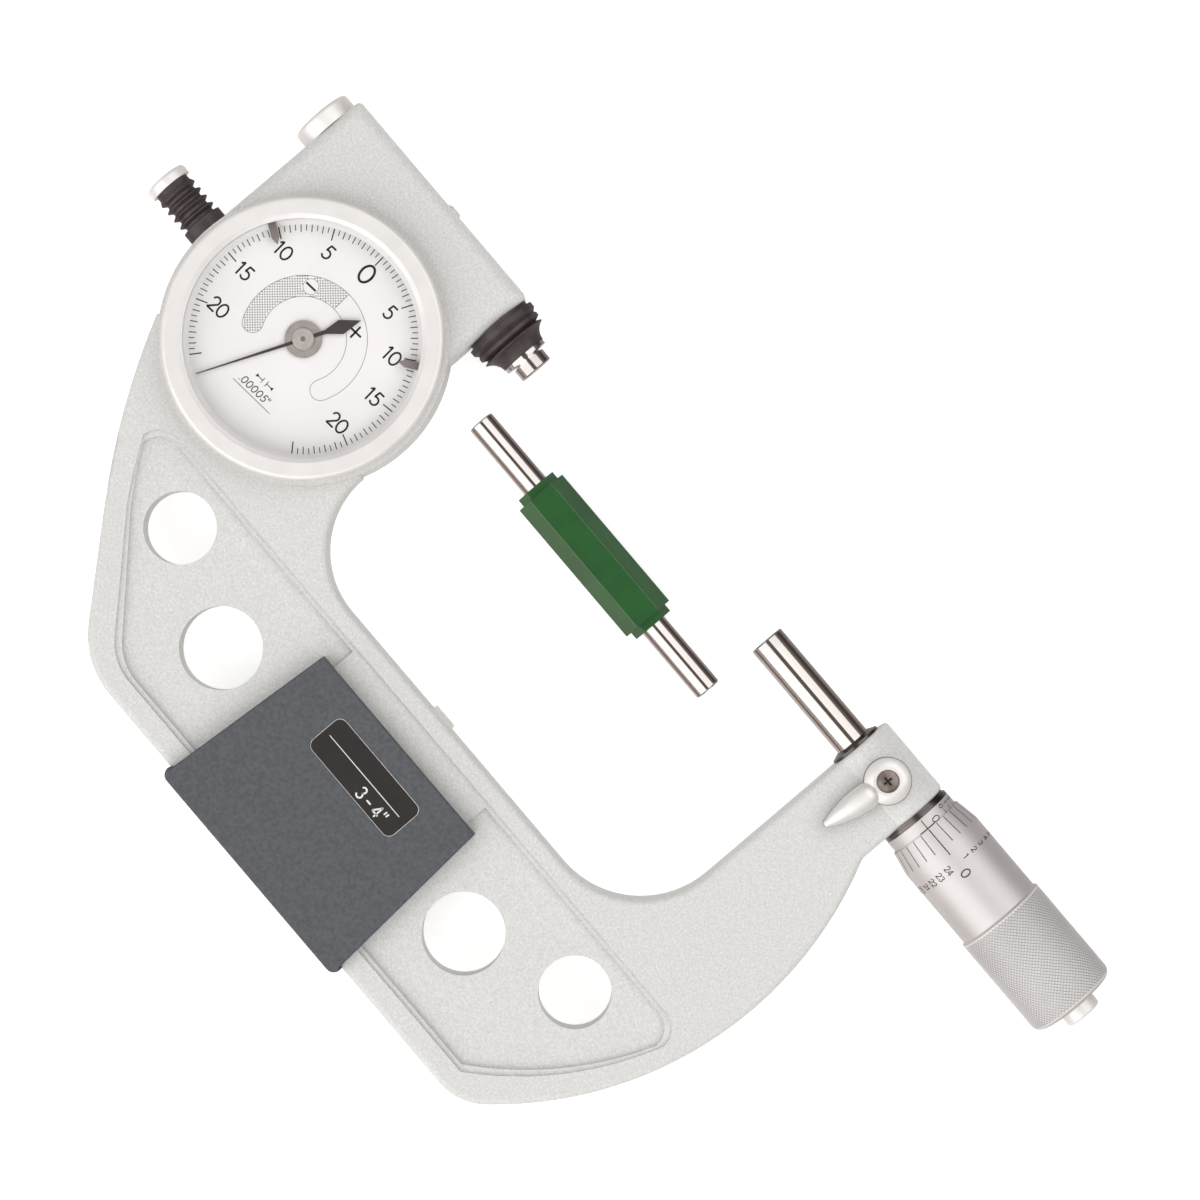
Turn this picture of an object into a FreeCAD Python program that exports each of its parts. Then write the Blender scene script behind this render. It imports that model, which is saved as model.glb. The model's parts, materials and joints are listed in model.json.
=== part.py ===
import FreeCAD, Part
import math
import os
import Sketcher

# Indicating micrometer for 3 to 4 inch work, lying on its back with the dial up.
# The origin is the centre of the anvil's measuring face. +X runs along the measuring line to
# the spindle and the thimble, -Y runs down into the bow of the frame, +Z comes out of the dial.
# Every length is in millimetres and every angle in degrees.

SIZES = {
    # measuring line
    "measuring_gap": 76.2,
    "rod_radius": 4.0,
    "running_gap": 0.04,
    "part_gap": 0.15,
    "cut_overrun": 1.0,
    "soft_gap": 0.3,
    "seat_gap": 0.05,
    # cast frame, seen from the front
    "spindle_reach": 30.0,
    "lug_length": 18.8,
    "lug_radius": 8.3,
    "lug_corner": 1.0,
    "throat_depth": 64.1,
    "throat_behind_anvil": 6.5,
    "throat_left_radius": 20.2,
    "throat_right_radius": 21.8,
    "frame_depth": 114.8,
    "toe_start": 6.0,
    "toe_radius": 19.7,
    "flank_back": 37.5,
    "flank_drop": 89.5,
    "shoulder_back": 61.6,
    "shoulder_drop": 54.3,
    "heel_inset": 3.2,
    "heel_radius": 13.2,
    "arm_radius": 85.0,
    "arm_notch_drop": 14.7,
    "notch_radius": 3.0,
    "bow_root_back": 6.0,
    "bow_root_rise": 8.0,
    "bow_root_inset": 4.0,
    "rim_half": 7.0,
    "rim_round": 1.4,
    # sunk panels of the bow
    "panel_half": 6.3,
    "web_half": 5.2,
    "panel_top_drop": 3.9,
    "panel_bottom_rise": 5.1,
    "panel_step": 1.1,
    "panel_tip_back": 43.6,
    "panel_tip_radius": 5.2,
    "panel_flank_back": 34.4,
    "panel_flank_drop": 85.6,
    "panel_flank_radius": 120.0,
    "panel_toe_back": 14.6,
    "panel_toe_rise": 3.8,
    "panel_toe_run": 8.6,
    "panel_toe_radius": 13.0,
    "panel_heel_inset": 2.2,
    "panel_right_reach": 21.8,
    "panel_right_radius": 78.0,
    "pad_left": 20.7,
    "pad_width": 43.7,
    "hole_small_radius": 7.9,
    "hole_large_radius": 9.0,
    "hole_left_back": 23.5,
    "hole_left_drop": 80.2,
    "hole_second_x": 1.8,
    "hole_second_drop": 90.2,
    "hole_third_x": 82.0,
    "hole_right_x": 107.0,
    # dial housing
    "housing_left": 68.2,
    "housing_right": 13.0,
    "housing_top": 8.35,
    "housing_front": 8.5,
    "housing_back": 10.5,
    "housing_round": 3.0,
    "housing_corner": 1.2,
    "dial_back": 36.8,
    "dial_drop": 33.9,
    "boss_radius": 31.2,
    "boss_height": 0.6,
    "movement_radius": 24.3,
    "ledge_radius": 20.0,
    "ledge_height": 7.0,
    "cover_radius": 22.9,
    "cover_thickness": 2.0,
    "cover_screw_circle": 21.4,
    "cover_screw_radius": 1.5,
    "cover_screw_shank": 0.75,
    "cover_screw_length": 2.8,
    "cover_head_depth": 1.0,
    "screw_sink": 0.1,
    # dial, bezel and crystal, heights above the measuring line
    "dial_thickness": 0.4,
    "dial_seat_radius": 27.0,
    "dial_hole_radius": 1.4,
    "scale_ring_height": 1.1,
    "scale_ring_width": 2.4,
    "scale_ring_slope": 1.0,
    "bezel_wall": 3.2,
    "bezel_overhang": 1.5,
    "bezel_top": 13.9,
    "bezel_round": 1.0,
    "bezel_lip": 1.3,
    "bezel_slope": 1.0,
    "bezel_bevel": 0.6,
    "crystal_thickness": 1.2,
    "gasket_thickness": 0.45,
    "gasket_width": 0.9,
    "hand_thickness": 0.4,
    "hand_spacing": 0.05,
    "hand_ring_width": 0.9,
    "hand_rim_gap": 0.1,
    "hand_taper": 1.6,
    "hand_length": 5.2,
    "hand_width": 1.7,
    "low_hand_angle": 154.7,
    "high_hand_angle": 36.2,
    # pointer
    "pointer_angle": 247.5,
    "pointer_tip_gap": 0.6,
    "pointer_root_width": 0.9,
    "pointer_tip_width": 0.2,
    "pointer_tail": 13.0,
    "pointer_neck": 5.0,
    "pointer_eye_radius": 1.5,
    "pointer_tail_width": 3.2,
    "pointer_tail_belly": 8.5,
    "pointer_height": 9.55,
    "pointer_thickness": 0.25,
    "hub_disc_radius": 4.0,
    "hub_disc_thickness": 0.3,
    "hub_cap_radius": 2.3,
    "hub_cap_thickness": 0.4,
    "hub_pin_radius": 0.5,
    "hub_pin_height": 0.25,
    # movement: lever, two toothed sectors and two pinions between two plates
    "plate_thickness": 1.0,
    "front_plate_height": 4.8,
    "front_plate_radius": 22.5,
    "plate_rim_gap": 0.1,
    "window_radius": 3.1,
    "window_circle": 13.5,
    "pillar_radius": 1.5,
    "pillar_circle": 19.5,
    "pillar_screw_radius": 0.7,
    "pillar_screw_head": 1.4,
    "pillar_screw_length": 3.0,
    "pillar_head_height": 0.7,
    "pivot_radius": 0.4,
    "pivot_length": 0.8,
    "arbor_radius": 0.8,
    "end_play": 0.15,
    "tooth_module": 0.25,
    "pinion_teeth": 10.0,
    "sector_teeth": 120.0,
    "pressure_angle": 20.0,
    "flank_steps": 3.0,
    "pinion_tip": 0.9,
    "pinion_root": 1.15,
    "sector_tip": 0.6,
    "sector_root": 1.3,
    "tooth_backlash": 0.03,
    "sector_thickness": 1.0,
    "pinion_overhang": 0.3,
    "lever_layer": 0.6,
    "sector_layer": -1.6,
    "lever_teeth_side": 3.0,
    "gear_teeth_before": 11.0,
    "gear_teeth_after": 2.0,
    "gear_arm_turn": 12.0,
    "sector_rim": 1.6,
    "sector_taper": 0.6,
    "sector_arm_width": 2.2,
    "sector_hub_radius": 1.8,
    "lever_hub_radius": 1.0,
    "lever_back": 39.9,
    "lever_drop": 13.5,
    "lever_arm": 1.85,
    "finger_tip": 0.4,
    "finger_width": 1.2,
    "hairspring_height": 3.2,
    "hairspring_width": 0.5,
    "hairspring_strip": 0.12,
    "hairspring_inner": 1.1,
    "hairspring_step": 0.75,
    "hairspring_half_turns": 7.0,
    "hairspring_stud": 0.8,
    # anvil and its guide
    "anvil_length": 60.0,
    "tip_length": 2.8,
    "tip_radius": 3.85,
    "tip_bevel": 0.2,
    "neck_length": 0.4,
    "neck_radius": 3.2,
    "spigot_length": 1.5,
    "guide_radius": 6.0,
    "front_bush_length": 20.0,
    "rear_bush_start": 54.0,
    "rear_bush_length": 8.5,
    "bush_flange_radius": 7.0,
    "bush_flange_length": 2.4,
    "collar_start": 48.5,
    "collar_length": 1.5,
    "collar_radius": 5.3,
    "driver_back": 42.1,
    "driver_width": 1.8,
    "driver_half": 2.0,
    "driver_seat": 3.4,
    "driver_overrun": 0.85,
    "slot_room": 1.0,
    "slot_room_behind": 3.0,
    "spring_wire": 0.25,
    "anvil_spring_radius": 2.9,
    "anvil_spring_turns": 4.0,
    "end_cap_length": 3.9,
    "end_cap_radius": 6.9,
    "end_cap_round": 1.0,
    "end_cap_plug": 2.6,
    "plug_x": 37.5,
    "plug_radius": 1.75,
    "plug_stem_radius": 1.45,
    "plug_bevel": 0.4,
    "plug_height": 0.7,
    "plug_depth": 1.6,
    "plug_floor": 2.0,
    # rubber bellows on the anvil, distances behind the anvil's face
    "bellows_neck_length": 0.85,
    "bellows_neck_radius": 7.6,
    "bellows_collar_length": 1.25,
    "bellows_collar_radius": 8.45,
    "bellows_collar_slope": 0.75,
    "bellows_dip_radius": 7.65,
    "bellows_dip_length": 0.5,
    "bellows_rib_length": 0.75,
    "bellows_rib_radius": 8.0,
    "bellows_valley_run": 0.6,
    "bellows_valley": 6.7,
    "bellows_crest_radius": 7.8,
    "bellows_crest": 0.12,
    "bellows_cone_radius": 3.6,
    "bellows_wall": 0.8,
    "bellows_nose_radius": 5.35,
    "bellows_nose": 4.35,
    "bellows_bore_length": 1.4,
    "clamp_ring_radius": 5.2,
    "clamp_ring_length": 0.9,
    # retracting button
    "button_drop": 34.3,
    "button_cap_radius": 4.9,
    "button_cap_length": 2.35,
    "button_cap_round": 0.8,
    "button_reach": 15.2,
    "button_bellows_radius": 4.55,
    "button_bellows_valley": 3.6,
    "button_bellows_wall": 0.4,
    "button_rib_pitch": 2.05,
    "button_rib_crest": 0.12,
    "button_valley_half": 0.3,
    "button_ribs": 4.0,
    "button_neck_length": 1.15,
    "button_neck_radius": 4.05,
    "button_collar_length": 2.85,
    "button_collar_radius": 4.75,
    "plunger_radius": 2.0,
    "plunger_end": 58.15,
    "plunger_stop_radius": 3.0,
    "plunger_stop_length": 0.8,
    "plunger_stop_gap": 0.6,
    "button_spring_radius": 2.75,
    "button_spring_turns": 5.0,
    # lifting lever
    "lift_pivot_back": 47.45,
    "lift_pivot_drop": 19.5,
    "lift_pin_radius": 1.0,
    "lift_hub_radius": 2.1,
    "lift_arm_width": 1.8,
    "lift_half": 0.6,
    "lift_toe_radius": 1.0,
    "lift_shoulder": 0.8,
    # spindle clamp
    "clamp_from_lug": 9.4,
    "clamp_boss_radius": 5.2,
    "clamp_boss_height": 8.9,
    "clamp_disc_thickness": 2.2,
    "clamp_disc_rim": 0.9,
    "clamp_disc_top": 3.2,
    "clamp_disc_crown": 5.0,
    "clamp_lever_angle": 84.4,
    "clamp_lever_start": 2.6,
    "clamp_lever_half": 2.85,
    "clamp_lever_side": 28.0,
    "clamp_lever_reach": 16.5,
    "clamp_lever_tip": 0.85,
    "clamp_lever_base": 0.6,
    "clamp_bolt_radius": 1.5,
    "clamp_screw_radius": 2.5,
    "clamp_screw_sink": 0.7,
    "clamp_seat_depth": 1.0,
    "clamp_neck_radius": 1.05,
    "clamp_crown": 0.3,
    "clamp_crown_radius": 10.2,
    "cross_reach": 1.1,
    "cross_half": 0.22,
    # spindle, sleeve and thimble, lengths from the lug
    "nose_ring_radius": 6.0,
    "nose_ring_reach": 1.3,
    "nose_ring_rim": 0.65,
    "nose_ring_depth": 1.2,
    "nose_ring_bevel": 1.6,
    "spindle_guide": 21.8,
    "thread_radius": 3.5,
    "spindle_length": 99.6,
    "nut_start": 30.4,
    "nut_length": 8.5,
    "adjusting_nut_length": 3.0,
    "adjusting_thread_depth": 0.8,
    "sleeve_relief": 0.5,
    "inner_sleeve_length": 41.0,
    "inner_sleeve_radius": 6.0,
    "inner_sleeve_step": 7.2,
    "seal_length": 1.4,
    "seal_groove_length": 0.5,
    "seal_groove_depth": 0.5,
    "sleeve_radius": 8.3,
    "sleeve_wall": 1.0,
    "thimble_start": 4.1,
    "thimble_length": 49.5,
    "thimble_radius": 9.8,
    "thimble_lip": 0.35,
    "thimble_bevel_length": 5.3,
    "thimble_gap": 0.12,
    "knurl_start": 24.3,
    "knurl_radius": 10.4,
    "knurl_bevel": 0.5,
    "knurl_round": 2.0,
    "thimble_end_wall": 4.6,
    "knob_radius": 4.2,
    "knob_length": 3.4,
    "knob_round": 0.6,
    "knob_plug": 1.6,
    # thermal insulating plates and the label
    "cover_plate_half": 10.5,
    "cover_plate_top_left": 17.5,
    "cover_plate_top_width": 49.8,
    "cover_plate_top_drop": 10.3,
    "cover_plate_flare": 2.9,
    "cover_plate_lip": 2.2,
    "cover_plate_ear": 0.5,
    "cover_plate_round": 0.4,
    "cover_plate_corner": 2.0,
    "label_left": 11.9,
    "label_width": 26.9,
    "label_top": 5.1,
    "label_height": 9.8,
    "label_corner": 2.0,
    "label_sink": 0.5,
    "label_thickness": 0.3,
    "plate_screw_radius": 2.2,
    "plate_screw_shank": 1.2,
    "plate_screw_end": 1.5,
    "plate_screw_drop": 3.0,
    "plate_head_depth": 1.5,
    "plate_screw_spread": 13.0,
    "throat_stop_x": 41.0,
    "throat_stop_length": 6.0,
    "throat_stop_height": 1.0,
    "throat_stop_half": 2.0,
    "throat_stop_bevel": 0.4,
    # setting standard
    "standard_offset": 0.3,
    "standard_drop": 16.4,
    "standard_radius": 3.0,
    "standard_bevel": 0.3,
    "grip_radius": 6.1,
    "grip_length": 35.8,
    "grip_round": 0.3,
    "grip_collar_radius": 4.8,
    "grip_collar_length": 39.4,
}


class Size:
    """A length: its number, and the sheet formula that the model binds to."""

    def __init__(self, number, formula):
        self.number = number
        self.formula = formula

    def __add__(self, other):
        other = as_size(other)
        return Size(self.number + other.number, f"({self.formula} + {other.formula})")

    def __radd__(self, other):
        return as_size(other) + self

    def __sub__(self, other):
        other = as_size(other)
        return Size(self.number - other.number, f"({self.formula} - {other.formula})")

    def __rsub__(self, other):
        return as_size(other) - self

    def __mul__(self, other):
        other = as_size(other)
        return Size(self.number * other.number, f"({self.formula} * {other.formula})")

    def __rmul__(self, other):
        return as_size(other) * self

    def __truediv__(self, other):
        other = as_size(other)
        return Size(self.number / other.number, f"({self.formula} / {other.formula})")

    def __neg__(self):
        return Size(-self.number, f"(0 - {self.formula})")

    def root(self):
        """The square root of this value."""
        return Size(math.sqrt(self.number), f"sqrt({self.formula})")


def as_size(value):
    """A plain number as a Size with itself for a formula."""
    if isinstance(value, Size):
        return value
    return Size(float(value), f"{float(value):.9f}")


class Sheet:
    """The spreadsheet of driving dimensions, read by name."""

    def __init__(self, document, values):
        self.table = document.addObject("Spreadsheet::Sheet", "Sizes")
        self.values = values
        for row, (name, number) in enumerate(values.items(), start=1):
            self.table.set(f"A{row}", name.replace("_", " "))
            self.table.set(f"B{row}", str(number))
            self.table.setAlias(f"B{row}", name)

    def __getattr__(self, name):
        return Size(self.values[name], f"Sizes.{name}")


doc = FreeCAD.newDocument("indicating_micrometer")
size = Sheet(doc, SIZES)
doc.recompute()

SUB_PARTS = []
ORIGIN = as_size(0)


def new_body(label, x=None, y=None, z=None):
    """A named body, its own frame moved to x, y, z where they are given."""
    body = doc.addObject("PartDesign::Body", label)
    body.Label = label
    for axis, value in (("x", x), ("y", y), ("z", z)):
        if value is not None:
            body.setExpression(f"Placement.Base.{axis}", value.formula)
    SUB_PARTS.append(body)
    return body


def new_sketch(body, name, role, height=ORIGIN):
    """An empty sketch on one of the body's own planes, raised along the plane's normal."""
    sketch = body.newObject("Sketcher::SketchObject", name)
    plane = next(item for item in body.Origin.OriginFeatures if item.Role == role)
    sketch.AttachmentSupport = [(plane, "")]
    sketch.MapMode = "FlatFace"
    sketch.AttachmentOffset = FreeCAD.Placement(FreeCAD.Vector(0, 0, height.number), FreeCAD.Rotation())
    sketch.setExpression("AttachmentOffset.Base.z", height.formula)
    return sketch


def bind_point(sketch, index, end, x, y):
    """Hold one end of a line, arc or circle at x, y from the sketch's origin."""
    for kind, value in (("DistanceX", x), ("DistanceY", y)):
        number = sketch.addConstraint(Sketcher.Constraint(kind, -1, 1, index, end, value.number))
        sketch.setExpression(f"Constraints[{number}]", value.formula)


def bind_radius(sketch, index, radius):
    """Hold the radius of an arc or circle."""
    number = sketch.addConstraint(Sketcher.Constraint("Radius", index, radius.number))
    sketch.setExpression(f"Constraints[{number}]", radius.formula)


def arc_between(start, end, radius):
    """The short arc from start to end; a positive radius turns left, a negative one right."""
    chord = end - start
    half = chord.Length / 2
    away = math.sqrt(max(radius * radius - half * half, 0.0))
    left = FreeCAD.Vector(-chord.y, chord.x, 0).normalize()
    centre = (start + end) / 2 + left * math.copysign(away, radius)
    first, last = (start, end) if radius > 0 else (end, start)
    begin = math.atan2(first.y - centre.y, first.x - centre.x)
    finish = math.atan2(last.y - centre.y, last.x - centre.x)
    if finish < begin:
        finish += 2 * math.pi
    circle = Part.Circle(centre, FreeCAD.Vector(0, 0, 1), abs(radius))
    return Part.ArcOfCircle(circle, begin, finish)


def draw_outline(sketch, points):
    """A closed outline through points (x, y) or (x, y, radius of the arc to the next point)."""
    corners = [(as_size(point[0]), as_size(point[1])) for point in points]
    radii = [as_size(point[2]) if len(point) > 2 else None for point in points]
    places = [FreeCAD.Vector(x.number, y.number, 0) for x, y in corners]
    ends = []
    for number, radius in enumerate(radii):
        start = places[number]
        end = places[(number + 1) % len(places)]
        if radius is None:
            index = sketch.addGeometry(Part.LineSegment(start, end), False)
            ends.append((index, 1, 2))
        else:
            index = sketch.addGeometry(arc_between(start, end, radius.number), False)
            ends.append((index, 1, 2) if radius.number > 0 else (index, 2, 1))
            bind_radius(sketch, index, radius if radius.number > 0 else -radius)
    for number, (index, first, _) in enumerate(ends):
        before, _, last = ends[number - 1]
        sketch.addConstraint(Sketcher.Constraint("Coincident", before, last, index, first))
        bind_point(sketch, index, first, *corners[number])


def draw_circle(sketch, x, y, radius):
    """A circle about x, y."""
    centre = FreeCAD.Vector(as_size(x).number, as_size(y).number, 0)
    index = sketch.addGeometry(Part.Circle(centre, FreeCAD.Vector(0, 0, 1), radius.number), False)
    bind_radius(sketch, index, radius)
    bind_point(sketch, index, 3, as_size(x), as_size(y))


def fill_sketch(sketch, outlines, circles):
    """Draw the outlines and the circles into one sketch."""
    for points in outlines:
        draw_outline(sketch, points)
    for x, y, radius in circles:
        draw_circle(sketch, x, y, radius)


def pad(body, name, low, high, outlines=(), circles=(), role="XY_Plane"):
    """Fill the outlines from low to high along the plane's normal."""
    sketch = new_sketch(body, f"{name}_outline", role, as_size(low))
    fill_sketch(sketch, outlines, circles)
    feature = body.newObject("PartDesign::Pad", name)
    feature.Profile = sketch
    feature.setExpression("Length", (as_size(high) - low).formula)
    doc.recompute()
    return feature


def pocket(body, name, low, high, outlines=(), circles=(), role="XY_Plane"):
    """Cut the outlines out of the body between low and high."""
    sketch = new_sketch(body, f"{name}_outline", role, as_size(high))
    fill_sketch(sketch, outlines, circles)
    feature = body.newObject("PartDesign::Pocket", name)
    feature.Profile = sketch
    feature.setExpression("Length", (as_size(high) - low).formula)
    doc.recompute()
    return feature


def turned(body, name, points, axis="H_Axis", kind="PartDesign::Revolution"):
    """Turn a profile about the body's X axis (points x, r) or its Z axis (points r, z)."""
    role = "XY_Plane" if axis == "H_Axis" else "XZ_Plane"
    sketch = new_sketch(body, f"{name}_profile", role)
    draw_outline(sketch, points)
    feature = body.newObject(kind, name)
    feature.Profile = sketch
    feature.ReferenceAxis = (sketch, [axis])
    feature.Angle = 360.0
    doc.recompute()
    return feature


def bored(body, name, points, axis="H_Axis"):
    """Cut a turned profile out of the body."""
    return turned(body, name, points, axis, "PartDesign::Groove")


def rectangle(left, right, bottom, top):
    """The four corners of a rectangle."""
    return [(left, bottom), (right, bottom), (right, top), (left, top)]


def tube(start, end, inner, outer):
    """Profile of a plain ring about the X axis or, with heights for radii, about the Z axis."""
    return [(start, inner), (end, inner), (end, outer), (start, outer)]


def round_edges(body, name, radius, chosen, kind="PartDesign::Fillet"):
    """Round or bevel the edges of the body's last feature that the test picks."""
    base = body.Tip
    names = [f"Edge{number}" for number, edge in enumerate(base.Shape.Edges, start=1) if chosen(edge)]
    feature = body.newObject(kind, name)
    feature.Base = (base, names)
    field = "Radius" if kind == "PartDesign::Fillet" else "Size"
    feature.setExpression(field, radius.formula)
    doc.recompute()
    return feature


def level(edge, height, slack=0.001):
    """True where the edge lies flat at the height."""
    box = edge.BoundBox
    return abs(box.ZMin - height) < slack and abs(box.ZMax - height) < slack


def placed_copies(label, shape, places):
    """One node of equal separate pieces, each moved to its place."""
    copies = []
    for x, y in places:
        copy = shape.copy()
        copy.translate(FreeCAD.Vector(x.number, y.number, 0))
        copies.append(copy)
    feature = doc.addObject("Part::Feature", label)
    feature.Label = label
    feature.Shape = Part.makeCompound(copies)
    SUB_PARTS.append(feature)


def make_screw_group(label, profile, places):
    """Equal turned pieces about Z, one at each place; the profile's points are r, z."""
    points = [FreeCAD.Vector(as_size(r).number, 0, z.number) for r, z in profile]
    face = Part.Face(Part.makePolygon(points + points[:1]))
    screw = face.revolve(FreeCAD.Vector(0, 0, 0), FreeCAD.Vector(0, 0, 1), 360)
    placed_copies(label, screw, places)


# Places that several pieces share
lug_left = size.measuring_gap + size.spindle_reach
lug_right = lug_left + size.lug_length
dial_x = -size.dial_back
dial_y = -size.dial_drop
boss_front = size.housing_front + size.boss_height
dial_front = size.housing_front + size.dial_thickness
bezel_lip_floor = size.bezel_top - size.bezel_lip
crystal_floor = bezel_lip_floor - size.crystal_thickness
scale_ring_inner = size.dial_seat_radius - size.scale_ring_width
hub_disc_low = size.pointer_height - size.hub_disc_thickness
pointer_top = size.pointer_height + size.pointer_thickness + size.hub_cap_thickness + size.hub_pin_height
lever_x = -size.lever_back
lever_y = -size.lever_drop
lift_x = -size.lift_pivot_back
lift_y = -size.lift_pivot_drop
button_y = -size.button_drop
button_cap_inner = size.button_cap_length - size.housing_left - size.button_reach
driver_left = -size.driver_back - size.driver_width / 2
driver_right = -size.driver_back + size.driver_width / 2
tip_back = -size.tip_length
guide_bore = size.rod_radius + size.running_gap
plate_rear_top = size.plate_thickness - size.ledge_height
plate_front_top = size.front_plate_height + size.plate_thickness
throat_floor = -size.throat_depth
frame_foot = -size.frame_depth
plate_screw_seat = size.plate_head_depth - size.cover_plate_half
label_floor = size.cover_plate_half - size.label_sink
clamp_x = lug_left + size.clamp_from_lug
clamp_low = size.clamp_boss_height + size.part_gap
clamp_high = clamp_low + size.clamp_disc_thickness
clamp_seat = clamp_high - size.clamp_seat_depth
nose_ring_end = lug_left + size.nose_ring_depth
seal_end = lug_right + size.seal_length
inner_sleeve_end = lug_right + size.inner_sleeve_length
sleeve_end = inner_sleeve_end - size.adjusting_nut_length
thimble_front = lug_right + size.thimble_start
thimble_end = thimble_front + size.thimble_length
standard_height = size.grip_radius * math.cos(math.radians(30)) - size.housing_back

# Angles about the pointer's axis where the pillars and the front plate's windows stand
PILLAR_ANGLES = (10, 215, 290)
WINDOW_ANGLES = (150, 185, 250, 325)

# Centre of the second arbor: equally far from the lever's arbor and from the pointer's
centre_distance = size.tooth_module * (size.pinion_teeth + size.sector_teeth) / 2
across_x = dial_x - lever_x
across_y = dial_y - lever_y
across = (across_x * across_x + across_y * across_y).root()
aside = (centre_distance * centre_distance - across * across / 4).root()
gear_x = lever_x + across_x / 2 - across_y / across * aside
gear_y = lever_y + across_y / 2 + across_x / across * aside
to_gear = math.atan2((gear_y - lever_y).number, (gear_x - lever_x).number)
to_dial = math.atan2((dial_y - gear_y).number, (dial_x - gear_x).number)


def tangent_from(start, centre, radius):
    """Where a line from start touches a circle that lies on its left; also the line's direction."""
    across_x = centre[0] - start[0]
    across_y = centre[1] - start[1]
    square = across_x * across_x + across_y * across_y
    run = (square - radius * radius).root()
    turn_x = (run * across_x + radius * across_y) / square
    turn_y = (run * across_y - radius * across_x) / square
    return (start[0] + run * turn_x, start[1] + run * turn_y), (turn_x, turn_y)


def arc_radius(start, end, direction):
    """Radius of the arc from start that reaches end in the given direction."""
    back_x = start[0] - end[0]
    back_y = start[1] - end[1]
    aside = direction[0] * back_y - direction[1] * back_x
    return (back_x * back_x + back_y * back_y) / (2 * aside)


def wide_centre(corner, corner_radius, end, radius):
    """Centre of the arc that runs on from a corner's arc without a kink and passes through end."""
    spare = radius - corner_radius
    across_x = end[0] - corner[0]
    across_y = end[1] - corner[1]
    square = across_x * across_x + across_y * across_y
    along = (spare * spare - radius * radius + square) / (2 * square)
    aside = (spare * spare / square - along * along).root()
    return (corner[0] + along * across_x - aside * across_y,
            corner[1] + along * across_y + aside * across_x)


def toward(start, goal, share):
    """The place at a share of the way from start to goal."""
    return start[0] + (goal[0] - start[0]) * share, start[1] + (goal[1] - start[1]) * share


def frame_outline():
    """The bow: throat side from the lug round to the dial boss, then the outer side back.

    Below the shoulder the outer side's lines and arcs run into each other without a kink.
    """
    root_x = -size.throat_behind_anvil - size.bow_root_back
    shoulder = (-size.shoulder_back, -size.shoulder_drop)
    flank = (-size.flank_back, -size.flank_drop)
    toe_centre = (-size.toe_start, frame_foot + size.toe_radius)
    toe, direction = tangent_from(flank, toe_centre, size.toe_radius)
    heel_centre = (lug_left - size.heel_inset, frame_foot + size.heel_radius)
    arm = size.arm_radius
    arm_centre = wide_centre(heel_centre, size.heel_radius, (lug_right, -size.arm_notch_drop), arm)
    heel = toward(arm_centre, heel_centre, arm / (arm - size.heel_radius))
    span = arm + size.notch_radius
    notch_x = lug_right + size.notch_radius
    notch_aside = notch_x - arm_centre[0]
    notch_y = arm_centre[1] + (span * span - notch_aside * notch_aside).root()
    return [
        (lug_left, 0),
        (lug_left, throat_floor + size.throat_right_radius, -size.throat_right_radius),
        (lug_left - size.throat_right_radius, throat_floor),
        (size.throat_left_radius - size.throat_behind_anvil, throat_floor, -size.throat_left_radius),
        (-size.throat_behind_anvil, throat_floor + size.throat_left_radius),
        (root_x, throat_floor + size.throat_left_radius + size.bow_root_rise),
        (size.bow_root_inset - size.shoulder_back, size.bow_root_inset - size.shoulder_drop),
        (*shoulder, arc_radius(shoulder, flank, direction)),
        flank,
        (*toe, size.toe_radius),
        (toe_centre[0], frame_foot),
        (heel_centre[0], frame_foot, size.heel_radius),
        (*heel, arm),
        (*toward(arm_centre, (notch_x, notch_y), arm / span), -size.notch_radius),
        (lug_right, notch_y),
        (lug_right, 0),
    ]


def panel_outline(inset):
    """The sunk panel across the whole bow, drawn in by the inset."""
    top = throat_floor - size.panel_top_drop - inset
    bottom = frame_foot + size.panel_bottom_rise + inset
    tip = -size.panel_tip_back + inset
    heel_x = lug_left - size.panel_heel_inset
    reach = lug_left + size.panel_right_reach - inset
    return [
        (tip + size.panel_tip_radius, top, size.panel_tip_radius),
        (tip, top - size.panel_tip_radius, size.panel_flank_radius),
        (-size.panel_flank_back + inset, -size.panel_flank_drop),
        (-size.panel_toe_back + inset, bottom + size.panel_toe_rise, size.panel_toe_radius),
        (-size.panel_toe_back + inset + size.panel_toe_run, bottom),
        (heel_x - inset, bottom, size.panel_right_radius),
        (reach, top - size.panel_tip_radius, size.panel_tip_radius),
        (reach - size.panel_tip_radius, top),
    ]


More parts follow.
